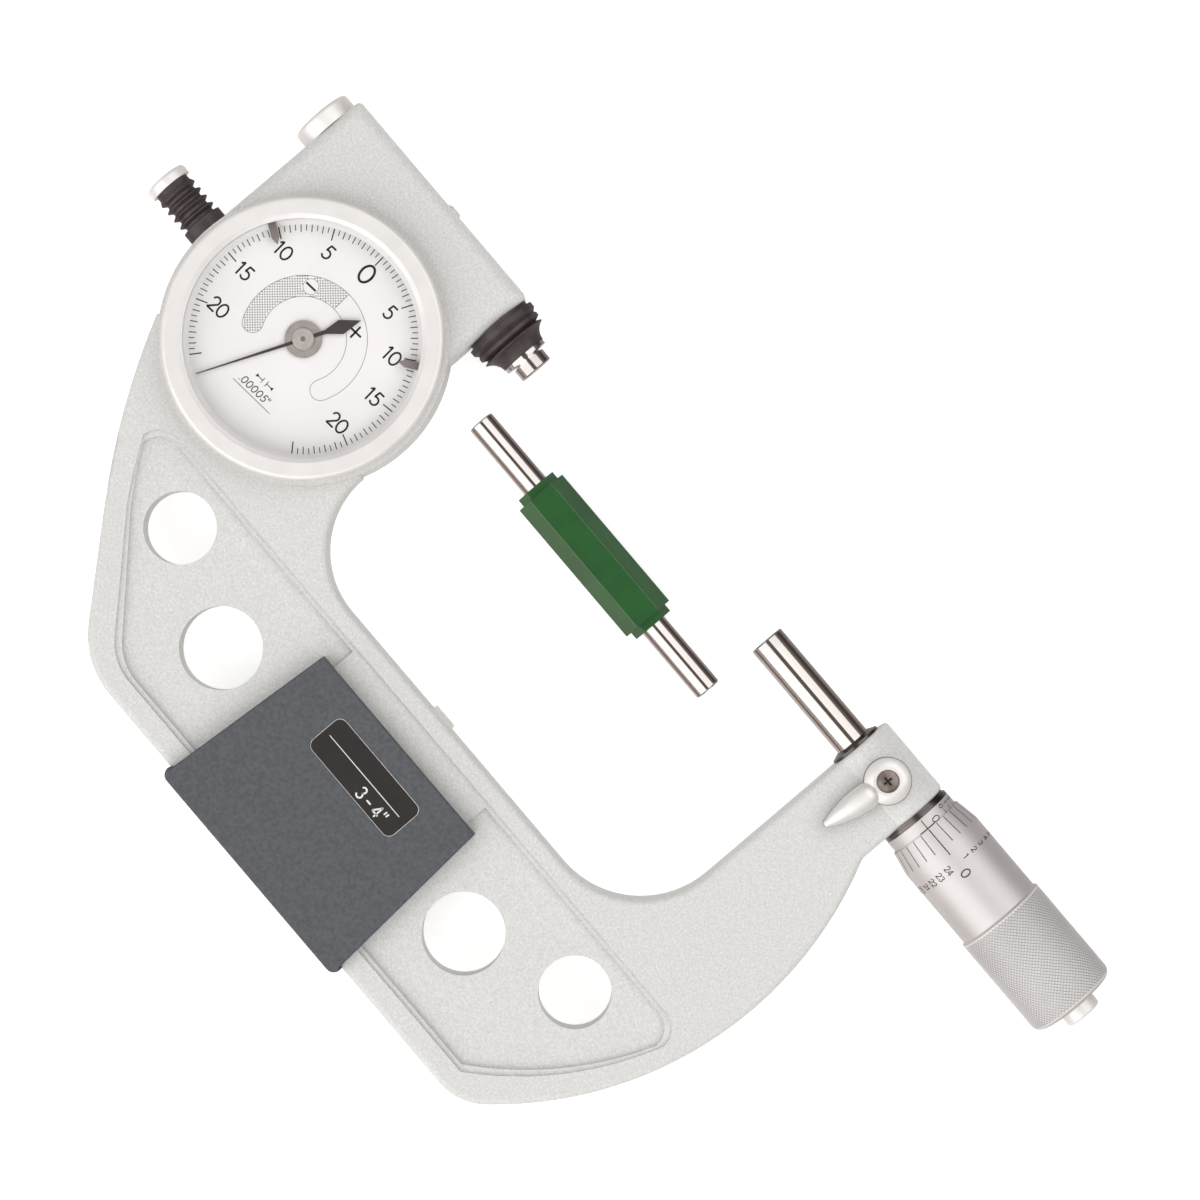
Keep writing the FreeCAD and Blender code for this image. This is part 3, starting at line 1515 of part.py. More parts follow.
def make_pointer_arbor():
    """Pointer's arbor with its pinion, the hairspring's collet and the pin of the hub."""
    low = plate_rear_top.number
    collet_low = size.hairspring_height.number
    shaft = rod(size.arbor_radius.number, low + size.end_play.number, hub_disc_low.number)
    foot = rod(size.pivot_radius.number, low - size.pivot_length.number, low + size.pivot_length.number)
    pin = rod(size.hub_pin_radius.number, dial_front.number, pointer_top.number)
    collet = rod(size.hairspring_inner.number - size.seat_gap.number, collet_low,
                 collet_low + size.hairspring_width.number)
    pinion = pinion_solid(size.sector_layer.number, to_dial + math.pi)
    sub_part("pointer_arbor", shaft.fuse([foot, pin, collet, pinion]).removeSplitter(), dial_x, dial_y)


def make_hairspring():
    """Flat spiral of half circles, each half a step wider than the last, about the pointer's arbor."""
    low = size.hairspring_height.number
    strip = size.hairspring_strip.number
    quarter = size.hairspring_step.number / 4
    turns = {0.0: [], strip: []}
    for offset, arcs in turns.items():
        for number in range(int(size.hairspring_half_turns.number)):
            side = 1 if number % 2 == 0 else -1
            middle = -side * quarter
            radius = size.hairspring_inner.number + quarter * (2 * number + 1) + offset
            points = [
                FreeCAD.Vector(middle + side * radius, 0, low),
                FreeCAD.Vector(middle, side * radius, low),
                FreeCAD.Vector(middle - side * radius, 0, low),
            ]
            arcs.append(Part.Arc(*points).toShape())
    inner, outer = turns.values()
    first = Part.makeLine(inner[0].Vertexes[0].Point, outer[0].Vertexes[0].Point)
    last = Part.makeLine(inner[-1].Vertexes[-1].Point, outer[-1].Vertexes[-1].Point)
    wire = Part.Wire(Part.__sortEdges__(inner + outer + [first, last]))
    solid = Part.Face(wire).extrude(FreeCAD.Vector(0, 0, size.hairspring_width.number))
    sub_part("hairspring", solid, dial_x, dial_y)


def make_dial_ring_piece(label, points):
    """A piece turned about the pointer's axis."""
    body = new_body(label, dial_x, dial_y)
    turned(body, "ring", points, "V_Axis")


def make_dial():
    """Dial plate on the floor of its seat, with the hole for the arbor."""
    rim = size.dial_seat_radius - size.seat_gap
    make_dial_ring_piece("dial_face", tube(size.dial_hole_radius, rim, size.housing_front, dial_front))


def make_dial_ring():
    """Ring round the dial, its inner wall sloping down to the dial."""
    rim = size.dial_seat_radius - size.seat_gap
    top = dial_front + size.scale_ring_height
    points = [
        (scale_ring_inner, dial_front),
        (rim, dial_front),
        (rim, top),
        (scale_ring_inner + size.scale_ring_slope, top),
    ]
    make_dial_ring_piece("dial_ring", points)


def make_bezel():
    """Bezel on the dial boss, with the lip that holds the crystal."""
    seat = size.dial_seat_radius
    opening = seat - size.bezel_overhang
    outer = seat + size.bezel_wall
    top = size.bezel_top
    corner = size.bezel_round
    points = [
        (seat, boss_front),
        (outer, boss_front),
        (outer, top - corner, corner),
        (outer - corner, top),
        (opening + size.bezel_slope, top),
        (opening, top - size.bezel_bevel),
        (opening, bezel_lip_floor),
        (seat, bezel_lip_floor),
    ]
    make_dial_ring_piece("bezel", points)


def make_crystal():
    """Clear disc under the bezel's lip."""
    rim = size.dial_seat_radius - size.seat_gap
    make_dial_ring_piece("crystal", tube(0, rim, crystal_floor, bezel_lip_floor))


def make_gasket():
    """Ring that presses the crystal against the lip."""
    rim = size.dial_seat_radius - size.seat_gap
    floor = crystal_floor - size.gasket_thickness
    make_dial_ring_piece("crystal_gasket", tube(rim - size.gasket_width, rim, floor, crystal_floor))


def turned_to(body, angle):
    """Turn a body about Z by a named angle."""
    body.Placement.Rotation = FreeCAD.Rotation(FreeCAD.Vector(0, 0, 1), angle.number)
    body.setExpression("Placement.Rotation.Angle", angle.formula)


def make_limit_hand(label, angle, layer):
    """Hand on a thin ring that turns inside the bezel; layer counts the rings upwards."""
    low = dial_front + size.scale_ring_height + size.hand_spacing
    low = low + (size.hand_thickness + size.hand_spacing) * layer
    high = low + size.hand_thickness
    outer = size.dial_seat_radius - size.hand_rim_gap
    inner = outer - size.hand_ring_width
    half = size.hand_width / 2
    tip = inner - size.hand_length
    taper = tip + size.hand_taper
    body = new_body(label, dial_x, dial_y)
    turned_to(body, angle)
    turned(body, "ring", tube(inner, outer, low, high), "V_Axis")
    root = inner + size.hand_ring_width / 2
    hand = [(tip, 0), (taper, -half), (root, -half), (root, half), (taper, half)]
    pad(body, "hand", low, high, [hand])


def make_pointer():
    """Needle with an eye round its bore and a lozenge for a tail."""
    low = size.pointer_height
    high = low + size.pointer_thickness
    body = new_body("pointer", dial_x, dial_y)
    turned_to(body, size.pointer_angle)
    root = size.pointer_root_width / 2
    tip = size.pointer_tip_width / 2
    length = scale_ring_inner - size.pointer_tip_gap
    belly = size.pointer_tail_width / 2
    outline = [
        (-size.pointer_neck, -root),
        (length, -tip),
        (length, tip),
        (-size.pointer_neck, root),
        (-size.pointer_tail_belly, belly),
        (-size.pointer_tail, 0),
        (-size.pointer_tail_belly, -belly),
    ]
    pad(body, "needle", low, high, [outline])
    pad(body, "eye", low, high, circles=[(0, 0, size.pointer_eye_radius)])
    pocket(body, "bore", low, high, circles=[(0, 0, size.hub_pin_radius)])


def make_pointer_hub():
    """The disc under the needle and the cap over it."""
    pin = size.hub_pin_radius
    low = size.pointer_height
    high = low + size.pointer_thickness
    make_dial_ring_piece("pointer_hub_disc", tube(pin, size.hub_disc_radius, hub_disc_low, low))
    cap_top = high + size.hub_cap_thickness
    make_dial_ring_piece("pointer_hub_cap", tube(pin, size.hub_cap_radius, high, cap_top))


def make_clamp_lever():
    """Crowned disc of the spindle clamp, its drop-shaped lever, and the seat of the screw."""
    body = new_body("clamp_lever", clamp_x)
    turned_to(body, size.clamp_lever_angle)
    radius = size.clamp_boss_radius
    profile = [
        (0, clamp_low),
        (radius, clamp_low),
        (radius, clamp_low + size.clamp_disc_rim, size.clamp_disc_crown),
        (size.clamp_disc_top, clamp_high),
        (0, clamp_high),
    ]
    turned(body, "disc", profile, "V_Axis")
    half = size.clamp_lever_half
    tip = size.clamp_lever_tip
    side = size.clamp_lever_side
    start = -size.clamp_lever_start
    widest = start - half
    end = tip - size.clamp_lever_reach
    end_half = half - (widest - end) * (widest - end) / (2 * side)
    base = clamp_low + size.clamp_lever_base
    edge = [
        (start, 0, half),
        (widest, half, side),
        (end, end_half, tip),
        (end - tip, 0),
    ]
    other_edge = [
        (end - tip, 0, tip),
        (end, -end_half, side),
        (widest, -half, half),
    ]
    pad(body, "lever_base", clamp_low, base, [edge[:-1] + other_edge])
    sketch = new_sketch(body, "lever_profile", "XY_Plane", base)
    draw_outline(sketch, edge)
    lever = body.newObject("PartDesign::Revolution", "lever")
    lever.Profile = sketch
    lever.ReferenceAxis = (sketch, ["H_Axis"])
    lever.Angle = 180.0
    doc.recompute()
    pocket(body, "screw_seat", clamp_seat, clamp_high, circles=[(0, 0, size.clamp_screw_radius)])
    pocket(body, "screw_hole", clamp_low, clamp_seat, circles=[(0, 0, size.clamp_neck_radius)])


def make_clamp_bolt():
    """Pin under the clamp's disc, down through the sleeve to just above the spindle."""
    body = new_body("clamp_bolt", clamp_x)
    end = size.rod_radius + size.part_gap
    turned(body, "bolt", tube(0, size.clamp_bolt_radius, end, clamp_low), "V_Axis")


def make_clamp_screw():
    """Low-crowned screw in the clamp's disc, with a cross slot."""
    body = new_body("clamp_screw", clamp_x)
    head = size.clamp_screw_radius - size.seat_gap
    neck = size.clamp_neck_radius
    crown = clamp_high - size.clamp_screw_sink
    profile = [
        (0, clamp_low),
        (neck, clamp_low),
        (neck, clamp_seat),
        (head, clamp_seat),
        (head, crown, size.clamp_crown_radius),
        (0, crown + size.clamp_crown),
    ]
    turned(body, "screw", profile, "V_Axis")
    arm = size.cross_reach
    slot = size.cross_half
    cross = [
        (-arm, -slot), (-slot, -slot), (-slot, -arm), (slot, -arm), (slot, -slot), (arm, -slot),
        (arm, slot), (slot, slot), (slot, arm), (-slot, arm), (-slot, slot), (-arm, slot),
    ]
    pocket(body, "cross", clamp_seat, crown + size.clamp_crown, [cross])


def make_spindle():
    """Spindle with its guide length and its thinner threaded length."""
    body = new_body("spindle")
    rear = size.measuring_gap + size.tip_length
    end = size.measuring_gap + size.spindle_length
    guide_end = lug_left + size.spindle_guide
    profile = [
        (rear, 0),
        (end, 0),
        (end, size.thread_radius),
        (guide_end, size.thread_radius),
        (guide_end, size.rod_radius),
        (rear, size.rod_radius),
    ]
    turned(body, "rod", profile)


def make_spindle_tip():
    """Hard tip of the spindle."""
    body = new_body("spindle_tip")
    face = size.measuring_gap
    rear = face + size.tip_length
    bevel = size.tip_bevel
    profile = [
        (face, 0),
        (rear, 0),
        (rear, size.rod_radius),
        (face + bevel, size.rod_radius),
        (face, size.rod_radius - bevel),
    ]
    turned(body, "tip", profile)


def make_nose_ring():
    """Cone-fronted ring round the spindle in the lug's face."""
    body = new_body("spindle_nose_ring")
    start = lug_left - size.nose_ring_reach
    bore = guide_bore + size.part_gap
    profile = [
        (start, bore),
        (nose_ring_end, bore),
        (nose_ring_end, size.nose_ring_radius),
        (lug_left - size.nose_ring_rim, size.nose_ring_radius),
        (start, size.nose_ring_radius - size.nose_ring_bevel),
    ]
    turned(body, "ring", profile)


def make_inner_sleeve():
    """Fixed sleeve in the lug: it guides the spindle, carries the nut and holds the outer sleeve."""
    body = new_body("inner_sleeve")
    nut = lug_right + size.nut_start
    nut_end = nut + size.nut_length
    nut_bore = size.thread_radius + size.running_gap
    end_bore = guide_bore + size.sleeve_relief
    step = size.inner_sleeve_step
    end_radius = step - size.adjusting_thread_depth
    profile = [
        (nose_ring_end, guide_bore),
        (nut, guide_bore),
        (nut, nut_bore),
        (nut_end, nut_bore),
        (nut_end, end_bore),
        (inner_sleeve_end, end_bore),
        (inner_sleeve_end, end_radius),
        (sleeve_end, end_radius),
        (sleeve_end, step),
        (lug_right, step),
        (lug_right, size.inner_sleeve_radius),
        (nose_ring_end, size.inner_sleeve_radius),
    ]
    turned(body, "sleeve", profile)
    clamp_hole = size.clamp_bolt_radius + size.part_gap
    pocket(body, "clamp_hole", 0, size.inner_sleeve_radius, circles=[(clamp_x, 0, clamp_hole)])


def make_adjusting_nut():
    """Ring on the inner sleeve's end that keeps the outer sleeve on."""
    body = new_body("adjusting_nut")
    bore = size.inner_sleeve_step - size.adjusting_thread_depth
    turned(body, "nut", tube(sleeve_end + size.seat_gap, inner_sleeve_end - size.part_gap, bore,
                             size.sleeve_radius - size.part_gap))


def make_seal_ring():
    """Dark ring between the lug and the graduated sleeve, with a groove next to the lug."""
    body = new_body("seal_ring")
    bore = size.inner_sleeve_step
    rim = size.sleeve_radius - size.seat_gap
    groove = lug_right + size.seal_groove_length
    floor = rim - size.seal_groove_depth
    turned(body, "ring", [
        (lug_right, bore),
        (seal_end, bore),
        (seal_end, rim),
        (groove, rim),
        (groove, floor),
        (lug_right, floor),
    ])


def make_graduated_sleeve():
    """Outer sleeve that carries the index line."""
    body = new_body("graduated_sleeve")
    bore = size.sleeve_radius - size.sleeve_wall
    turned(body, "sleeve", tube(seal_end, sleeve_end, bore, size.sleeve_radius))


def make_thimble():
    """Thimble with its bevelled edge and its wider grip."""
    body = new_body("thimble")
    inner = size.sleeve_radius + size.thimble_gap
    wall = thimble_end - size.thimble_end_wall
    bore = size.thread_radius + size.running_gap
    knurl = thimble_front + size.knurl_start
    corner = size.knurl_round
    profile = [
        (thimble_front, inner),
        (thimble_front, inner + size.thimble_lip),
        (thimble_front + size.thimble_bevel_length, size.thimble_radius),
        (knurl, size.thimble_radius),
        (knurl + size.knurl_bevel, size.knurl_radius),
        (thimble_end - corner, size.knurl_radius, -corner),
        (thimble_end, size.knurl_radius - corner),
        (thimble_end, bore),
        (wall, bore),
        (wall, inner),
    ]
    turned(body, "thimble", profile)


def make_end_knob():
    """Knob on the thimble's end, with the plug that fills its bore."""
    body = new_body("thimble_end_knob")
    plug_start = thimble_end - size.knob_plug
    knob_end = thimble_end + size.knob_length
    bore = size.thread_radius + size.running_gap
    corner = size.knob_round
    profile = [
        (plug_start, 0),
        (knob_end, 0),
        (knob_end, size.knob_radius - corner, corner),
        (knob_end - corner, size.knob_radius),
        (thimble_end, size.knob_radius),
        (thimble_end, bore),
        (plug_start, bore),
    ]
    turned(body, "knob", profile)


def hexagon(radius):
    """Six corners on a circle, two of them level with its centre."""
    turns = [math.radians(60 * number) for number in range(6)]
    return [(radius * math.cos(turn), radius * math.sin(turn)) for turn in turns]


def new_standard_body(label):
    """A body on the axis of the setting standard, which lies on one flat of its grip."""
    return new_body(label, size.standard_offset, -size.standard_drop, standard_height)


def make_standard_rod():
    """Steel rod of the setting standard, as long as the spindle's gap at zero."""
    body = new_standard_body("standard_rod")
    length = size.measuring_gap
    bevel = size.standard_bevel
    radius = size.standard_radius
    profile = [
        (0, 0),
        (length, 0),
        (length, radius - bevel),
        (length - bevel, radius),
        (bevel, radius),
        (0, radius - bevel),
    ]
    turned(body, "rod", profile)


def make_standard_grip():
    """Six-sided grip of the setting standard with a thinner collar at each end."""
    body = new_standard_body("standard_grip")
    middle = size.measuring_gap / 2
    reach = size.grip_length / 2
    collar_reach = size.grip_collar_length / 2
    pad(body, "grip", middle - reach, middle + reach, [hexagon(size.grip_radius)], role="YZ_Plane")
    round_edges(body, "grip_edges", size.grip_round, lambda edge: edge.BoundBox.XLength > reach.number)
    pad(body, "collars", middle - collar_reach, middle + collar_reach, [hexagon(size.grip_collar_radius)],
        role="YZ_Plane")
    pocket(body, "bore", middle - collar_reach, middle + collar_reach,
           circles=[(0, 0, size.standard_radius)], role="YZ_Plane")


def check_document():
    """Stop where an object failed, a shape is broken or a cut took nothing away."""
    for item in doc.Objects:
        if "Invalid" in item.State or "Error" in item.State:
            raise ValueError(f"{item.Name} failed: {item.State}")
        if item.TypeId in ("PartDesign::Pocket", "PartDesign::Groove"):
            if item.BaseFeature.Shape.Volume - item.Shape.Volume < 1e-6:
                raise ValueError(f"{item.Name} cuts nothing")
    for item in SUB_PARTS:
        if item.Shape.isNull() or not item.Shape.isValid():
            raise ValueError(f"{item.Label} has no valid shape")


def make_everything():
    """Build every piece, the bow first and the setting standard last."""
    make_frame()
    make_front_plate()
    make_back_plate()
    make_label()
    make_plate_screws()
    make_throat_stop()
    make_back_cover()
    make_cover_screws()
    make_side_plug()
    make_end_cap()
    make_front_bush()
    make_rear_bush()
    make_anvil()
    make_anvil_tip()
    make_clamp_ring()
    make_driver()
    make_anvil_bellows()
    make_anvil_spring()
    make_plunger()
    make_button_cap()
    make_button_bellows()
    make_button_spring()
    make_lifting_lever()
    make_lifting_pin()
    make_rear_plate()
    make_front_movement_plate()
    make_pillars()
    make_movement_screws()
    make_lever_sector()
    make_gear_sector()
    make_pointer_arbor()
    make_hairspring()
    make_dial()
    make_dial_ring()
    make_bezel()
    make_crystal()
    make_gasket()
    make_limit_hand("low_limit_hand", size.low_hand_angle, 0)
    make_limit_hand("high_limit_hand", size.high_hand_angle, 1)
    make_pointer()
    make_pointer_hub()
    make_clamp_lever()
    make_clamp_bolt()
    make_clamp_screw()
    make_spindle()
    make_spindle_tip()
    make_nose_ring()
    make_inner_sleeve()
    make_adjusting_nut()
    make_seal_ring()
    make_graduated_sleeve()
    make_thimble()
    make_end_knob()
    make_standard_rod()
    make_standard_grip()


make_everything()
doc.recompute()
check_document()
os.makedirs("parts", exist_ok=True)
for sub_part_object in SUB_PARTS:
    sub_part_object.Shape.exportStep(f"parts/{sub_part_object.Label}.step")
    print(f"{sub_part_object.Label}: {sub_part_object.Shape.Volume:.1f} cubic mm")
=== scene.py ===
"""Looks of an indicating micrometer that lies on its back beside its setting standard.

Every class holds its sizes in millimetres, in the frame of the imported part: the middle of the
anvil's face is the origin, +X runs along the spindle, +Y up to the dial's upper edge and +Z out
of the dial. Meshes become metres when they are made.
"""

import json
import logging
import math
from dataclasses import dataclass, field
from enum import Enum

import bpy
import numpy as np
from mathutils import Matrix, Vector

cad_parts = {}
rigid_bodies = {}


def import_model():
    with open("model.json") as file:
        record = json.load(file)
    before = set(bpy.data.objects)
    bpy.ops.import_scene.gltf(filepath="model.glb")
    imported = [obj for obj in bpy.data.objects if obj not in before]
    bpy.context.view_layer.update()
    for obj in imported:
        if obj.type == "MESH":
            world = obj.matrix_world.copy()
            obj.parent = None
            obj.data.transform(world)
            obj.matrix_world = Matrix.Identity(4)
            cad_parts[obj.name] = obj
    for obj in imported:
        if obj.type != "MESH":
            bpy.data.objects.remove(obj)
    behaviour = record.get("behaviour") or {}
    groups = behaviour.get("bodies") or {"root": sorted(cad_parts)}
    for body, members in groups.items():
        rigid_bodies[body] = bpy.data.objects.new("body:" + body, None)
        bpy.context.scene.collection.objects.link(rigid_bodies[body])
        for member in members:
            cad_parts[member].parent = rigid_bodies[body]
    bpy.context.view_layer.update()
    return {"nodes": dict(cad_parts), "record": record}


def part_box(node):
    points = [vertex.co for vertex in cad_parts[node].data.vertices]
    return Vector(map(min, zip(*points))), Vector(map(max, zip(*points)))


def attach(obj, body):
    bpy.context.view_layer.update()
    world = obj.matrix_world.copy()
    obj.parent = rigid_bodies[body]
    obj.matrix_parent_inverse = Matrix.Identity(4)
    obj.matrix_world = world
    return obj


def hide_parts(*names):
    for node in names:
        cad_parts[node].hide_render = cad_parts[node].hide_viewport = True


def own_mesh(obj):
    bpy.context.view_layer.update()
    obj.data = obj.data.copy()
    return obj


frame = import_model()

LOG = logging.getLogger("micrometer")
MM = 0.001
DIAL_AXIS = (-36.8, -33.9)
CLAMP_AXIS = (115.6, 0.0)
SKIN_LIFT = 0.012
LINE_STEP = 0.25
BAR_STEP = 0.6
Array = np.ndarray
Tree = bpy.types.NodeTree
Node = bpy.types.Node
Socket = bpy.types.NodeSocket
Material = bpy.types.Material
Pair = tuple[float, float]


def linear(code: str) -> tuple[float, float, float, float]:
    """Turn an sRGB hex colour into Blender's linear one.

    Args:
        code: six hex digits after a hash.

    Returns:
        Red, green, blue and an alpha of one.
    """
    channels = [int(code[at : at + 2], 16) / 255 for at in (1, 3, 5)]
    curved = [c / 12.92 if c <= 0.04045 else ((c + 0.055) / 1.055) ** 2.4 for c in channels]
    return (*curved, 1.0)


def add_node(tree: Tree, kind: str, inputs: dict | None = None, **settings: object) -> Node:
    """Add one shader node.

    Args:
        tree: the material's node tree.
        kind: the node's type.
        inputs: a value or a source socket for each named or numbered input.
        settings: the node's own properties.

    Returns:
        The new node.
    """
    node = tree.nodes.new(kind)
    for name, value in settings.items():
        setattr(node, name, value)
    for name, value in (inputs or {}).items():
        if isinstance(value, Socket):
            tree.links.new(value, node.inputs[name])
        else:
            node.inputs[name].default_value = value
    return node


def bare_material(name: str) -> Material:
    """Make a material with an empty node tree.

    Args:
        name: the material's name.

    Returns:
        The material.
    """
    material = bpy.data.materials.new(name)
    material.use_nodes = True
    material.node_tree.nodes.clear()
    return material


class Grain(Enum):
    """How a surface's relief lies."""

    MOTTLED = "mottled"
    TURNED_X = "turned about the spindle's line"
    TURNED_Z = "turned about the dial's axis"
    BRUSHED_X = "drawn along the spindle's line"
    EVEN = "the same along every way"


@dataclass(frozen=True)
class Finish:
    """A material of one kind: what it is, its two shades, its gloss and its grain.

    The two shades mix by a soft noise of patch_mm, between its levels of patch_levels. The relief
    has grains of grain_mm and a depth of relief_mm, and the gloss wanders by gloss_change about
    roughness. A turned grain lies about the upright line through axis_mm, or about X.
    """

    name: str
    shade: str
    dark: str
    roughness: float
    metallic: float = 0.0
    grain: Grain = Grain.EVEN
    patch_mm: float = 6.0
    grain_mm: float = 0.6
    relief_mm: float = 0.004
    gloss_change: float = 0.05
    coat: float = 0.0
    coat_roughness: float = 0.1
    axis_mm: Pair = (0.0, 0.0)
    patch_levels: Pair = (0.35, 0.65)

    def from_axis(self, tree: Tree, place: Socket) -> Socket:
        """Measure how far a place lies from the upright line through axis_mm.

        Args:
            tree: the material's node tree.
            place: object coordinates in metres.

        Returns:
            The distance in metres.
        """
        x, y = self.axis_mm
        terms = {0: place, 1: (1.0, 1.0, 0.0), 2: (-x * MM, -y * MM, 0.0)}
        flat = add_node(tree, "ShaderNodeVectorMath", terms, operation="MULTIPLY_ADD").outputs["Vector"]
        return add_node(tree, "ShaderNodeVectorMath", {0: flat}, operation="LENGTH").outputs["Value"]

    def relief(self, tree: Tree, place: Socket) -> Socket:
        """Make the height pattern of the grain.

        Args:
            tree: the material's node tree.
            place: object coordinates in metres.

        Returns:
            A height from nought to one.
        """
        per_metre = 1 / (self.grain_mm * MM)
        if self.grain is Grain.MOTTLED:
            inputs = {"Vector": place, "Scale": per_metre, "Smoothness": 0.8, "Detail": 1.0}
            return add_node(tree, "ShaderNodeTexVoronoi", inputs, feature="SMOOTH_F1").outputs["Distance"]
        stretch = {
            Grain.TURNED_X: (1.0, 0.03, 0.03),
            Grain.BRUSHED_X: (0.02, 1.0, 1.0),
        }.get(self.grain, (1.0, 1.0, 1.0))
        if self.grain is Grain.TURNED_Z:
            radius = self.from_axis(tree, place)
            place = add_node(tree, "ShaderNodeCombineXYZ", {"X": radius}).outputs["Vector"]
        inputs = {"Vector": place, "Scale": stretch}
        stretched = add_node(tree, "ShaderNodeMapping", inputs).outputs["Vector"]
        inputs = {"Vector": stretched, "Scale": per_metre, "Detail": 3.0, "Roughness": 0.55}
        return add_node(tree, "ShaderNodeTexNoise", inputs).outputs["Fac"]

    def build(self) -> Material:
        """Build the material with its colour, gloss and relief from nodes.

        Returns:
            The material.
        """
        material = bare_material(self.name)
        tree = material.node_tree
        place = add_node(tree, "ShaderNodeTexCoord").outputs["Object"]
        inputs = {"Vector": place, "Scale": 1 / (self.patch_mm * MM), "Detail": 4.0}
        patches = add_node(tree, "ShaderNodeTexNoise", inputs).outputs["Fac"]
        height = self.relief(tree, place)
        low, high = self.patch_levels
        inputs = {"Value": patches, "From Min": low, "From Max": high}
        spread = add_node(tree, "ShaderNodeMapRange", inputs).outputs["Result"]
        inputs = {"Factor": spread, "A": linear(self.dark), "B": linear(self.shade)}
        shades = add_node(tree, "ShaderNodeMix", inputs, data_type="RGBA")
        inputs = {
            "Value": height,
            "To Min": self.roughness - self.gloss_change,
            "To Max": self.roughness + self.gloss_change,
        }
        gloss = add_node(tree, "ShaderNodeMapRange", inputs)
        inputs = {"Height": height, "Distance": self.relief_mm * MM, "Strength": 1.0}
        bump = add_node(tree, "ShaderNodeBump", inputs)
        inputs = {
            "Base Color": self.mixed(tree, shades, height),
            "Roughness": gloss.outputs["Result"],
            "Metallic": self.metallic,
            "Coat Weight": self.coat,
            "Coat Roughness": self.coat_roughness,
            "Normal": bump.outputs["Normal"],
        }
        shader = add_node(tree, "ShaderNodeBsdfPrincipled", inputs)
        add_node(tree, "ShaderNodeOutputMaterial", {"Surface": shader.outputs["BSDF"]})
        return material

    def mixed(self, tree: Tree, shades: Node, height: Socket) -> Socket:
        """Return the colour that the mix of the two shades gives; a plain finish leaves it so."""
        return next(s for s in shades.outputs if s.name == "Result" and s.type == "RGBA")


def dimmed(tree: Tree, colour: Socket, amount: Socket, share: float) -> Socket:
    """Darken a colour by a share where the amount is one.

    Args:
        tree: the material's node tree.
        colour: the colour to darken.
        amount: nought to one.
        share: how much of the colour the full amount takes away.

    Returns:
        The darker colour.
    """
    inputs = {"Value": amount, "To Min": 1.0, "To Max": 1.0 - share}
    left = add_node(tree, "ShaderNodeMapRange", inputs).outputs["Result"]
    return add_node(
        tree, "ShaderNodeVectorMath", {0: colour, "Scale": left}, operation="SCALE"
    ).outputs["Vector"]


@dataclass(frozen=True)
class MottledFinish(Finish):
    """A finish whose grain also shows as painted shade: an enamel's blisters, a turned face's rings.

    The hollows of the grain are darker by hollow, a share of the colour: painted shade.
    """

    hollow: float = 0.1
    hollow_levels: Pair = (0.15, 0.75)

    def mixed(self, tree: Tree, shades: Node, height: Socket) -> Socket:
        """Darken the colour in the hollows of the grain, as painted shade.

        Args:
            tree: the material's node tree.
            shades: the node that mixes the two shades.
            height: the relief, nought to one.

        Returns:
            The colour.
        """
        low, high = self.hollow_levels
        inputs = {"Value": height, "From Min": low, "From Max": high}
        deep = add_node(tree, "ShaderNodeMapRange", inputs).outputs["Result"]
        return dimmed(tree, super().mixed(tree, shades, height), deep, self.hollow)


@dataclass(frozen=True)
class KnurledFinish(Finish):
    """A finish with painted shade in its knurl: groove is the share of the colour that its grooves' bottoms
    lose.

    The mesh carries the depth of its grooves, nought to one, as the attribute "groove".
    """

    # share of the colour that the painted shade takes away at the grooves' bottoms
    groove: float = 0.82

    def mixed(self, tree: Tree, shades: Node, height: Socket) -> Socket:
        """Darken the colour in the knurl's grooves, as painted shade.

        Args:
            tree: the material's node tree.
            shades: the node that mixes the two shades.
            height: the relief, nought to one.

        Returns:
            The colour.
        """
        deep = add_node(tree, "ShaderNodeAttribute", attribute_name="groove").outputs["Fac"]
        return dimmed(tree, super().mixed(tree, shades, height), deep, self.groove)


@dataclass(frozen=True)
class JointedFinish(Finish):
    """A finish with a painted shadow line along the foot of a disc about axis_mm.

    The line lies beyond rim_mm from the axis and below the height top_mm.
    """

    rim_mm: float = 5.0
    top_mm: float = 10.1
    # share of the colour that the painted shadow line takes away
    joint: float = 0.75

    def mixed(self, tree: Tree, shades: Node, height: Socket) -> Socket:
        """Darken the colour along the disc's foot, as a painted shadow line.

        Args:
            tree: the material's node tree.
            shades: the node that mixes the two shades.
            height: the relief, nought to one.

        Returns:
            The colour.
        """
        place = add_node(tree, "ShaderNodeTexCoord").outputs["Object"]
        radius = self.from_axis(tree, place)
        beyond = add_node(tree, "ShaderNodeMath", {0: radius, 1: self.rim_mm * MM}, operation="GREATER_THAN")
        level = add_node(tree, "ShaderNodeSeparateXYZ", {"Vector": place}).outputs["Z"]
        below = add_node(tree, "ShaderNodeMath", {0: level, 1: self.top_mm * MM}, operation="LESS_THAN")
        terms = {0: beyond.outputs["Value"], 1: below.outputs["Value"]}
        both = add_node(tree, "ShaderNodeMath", terms, operation="MULTIPLY").outputs["Value"]
        return dimmed(tree, super().mixed(tree, shades, height), both, self.joint)


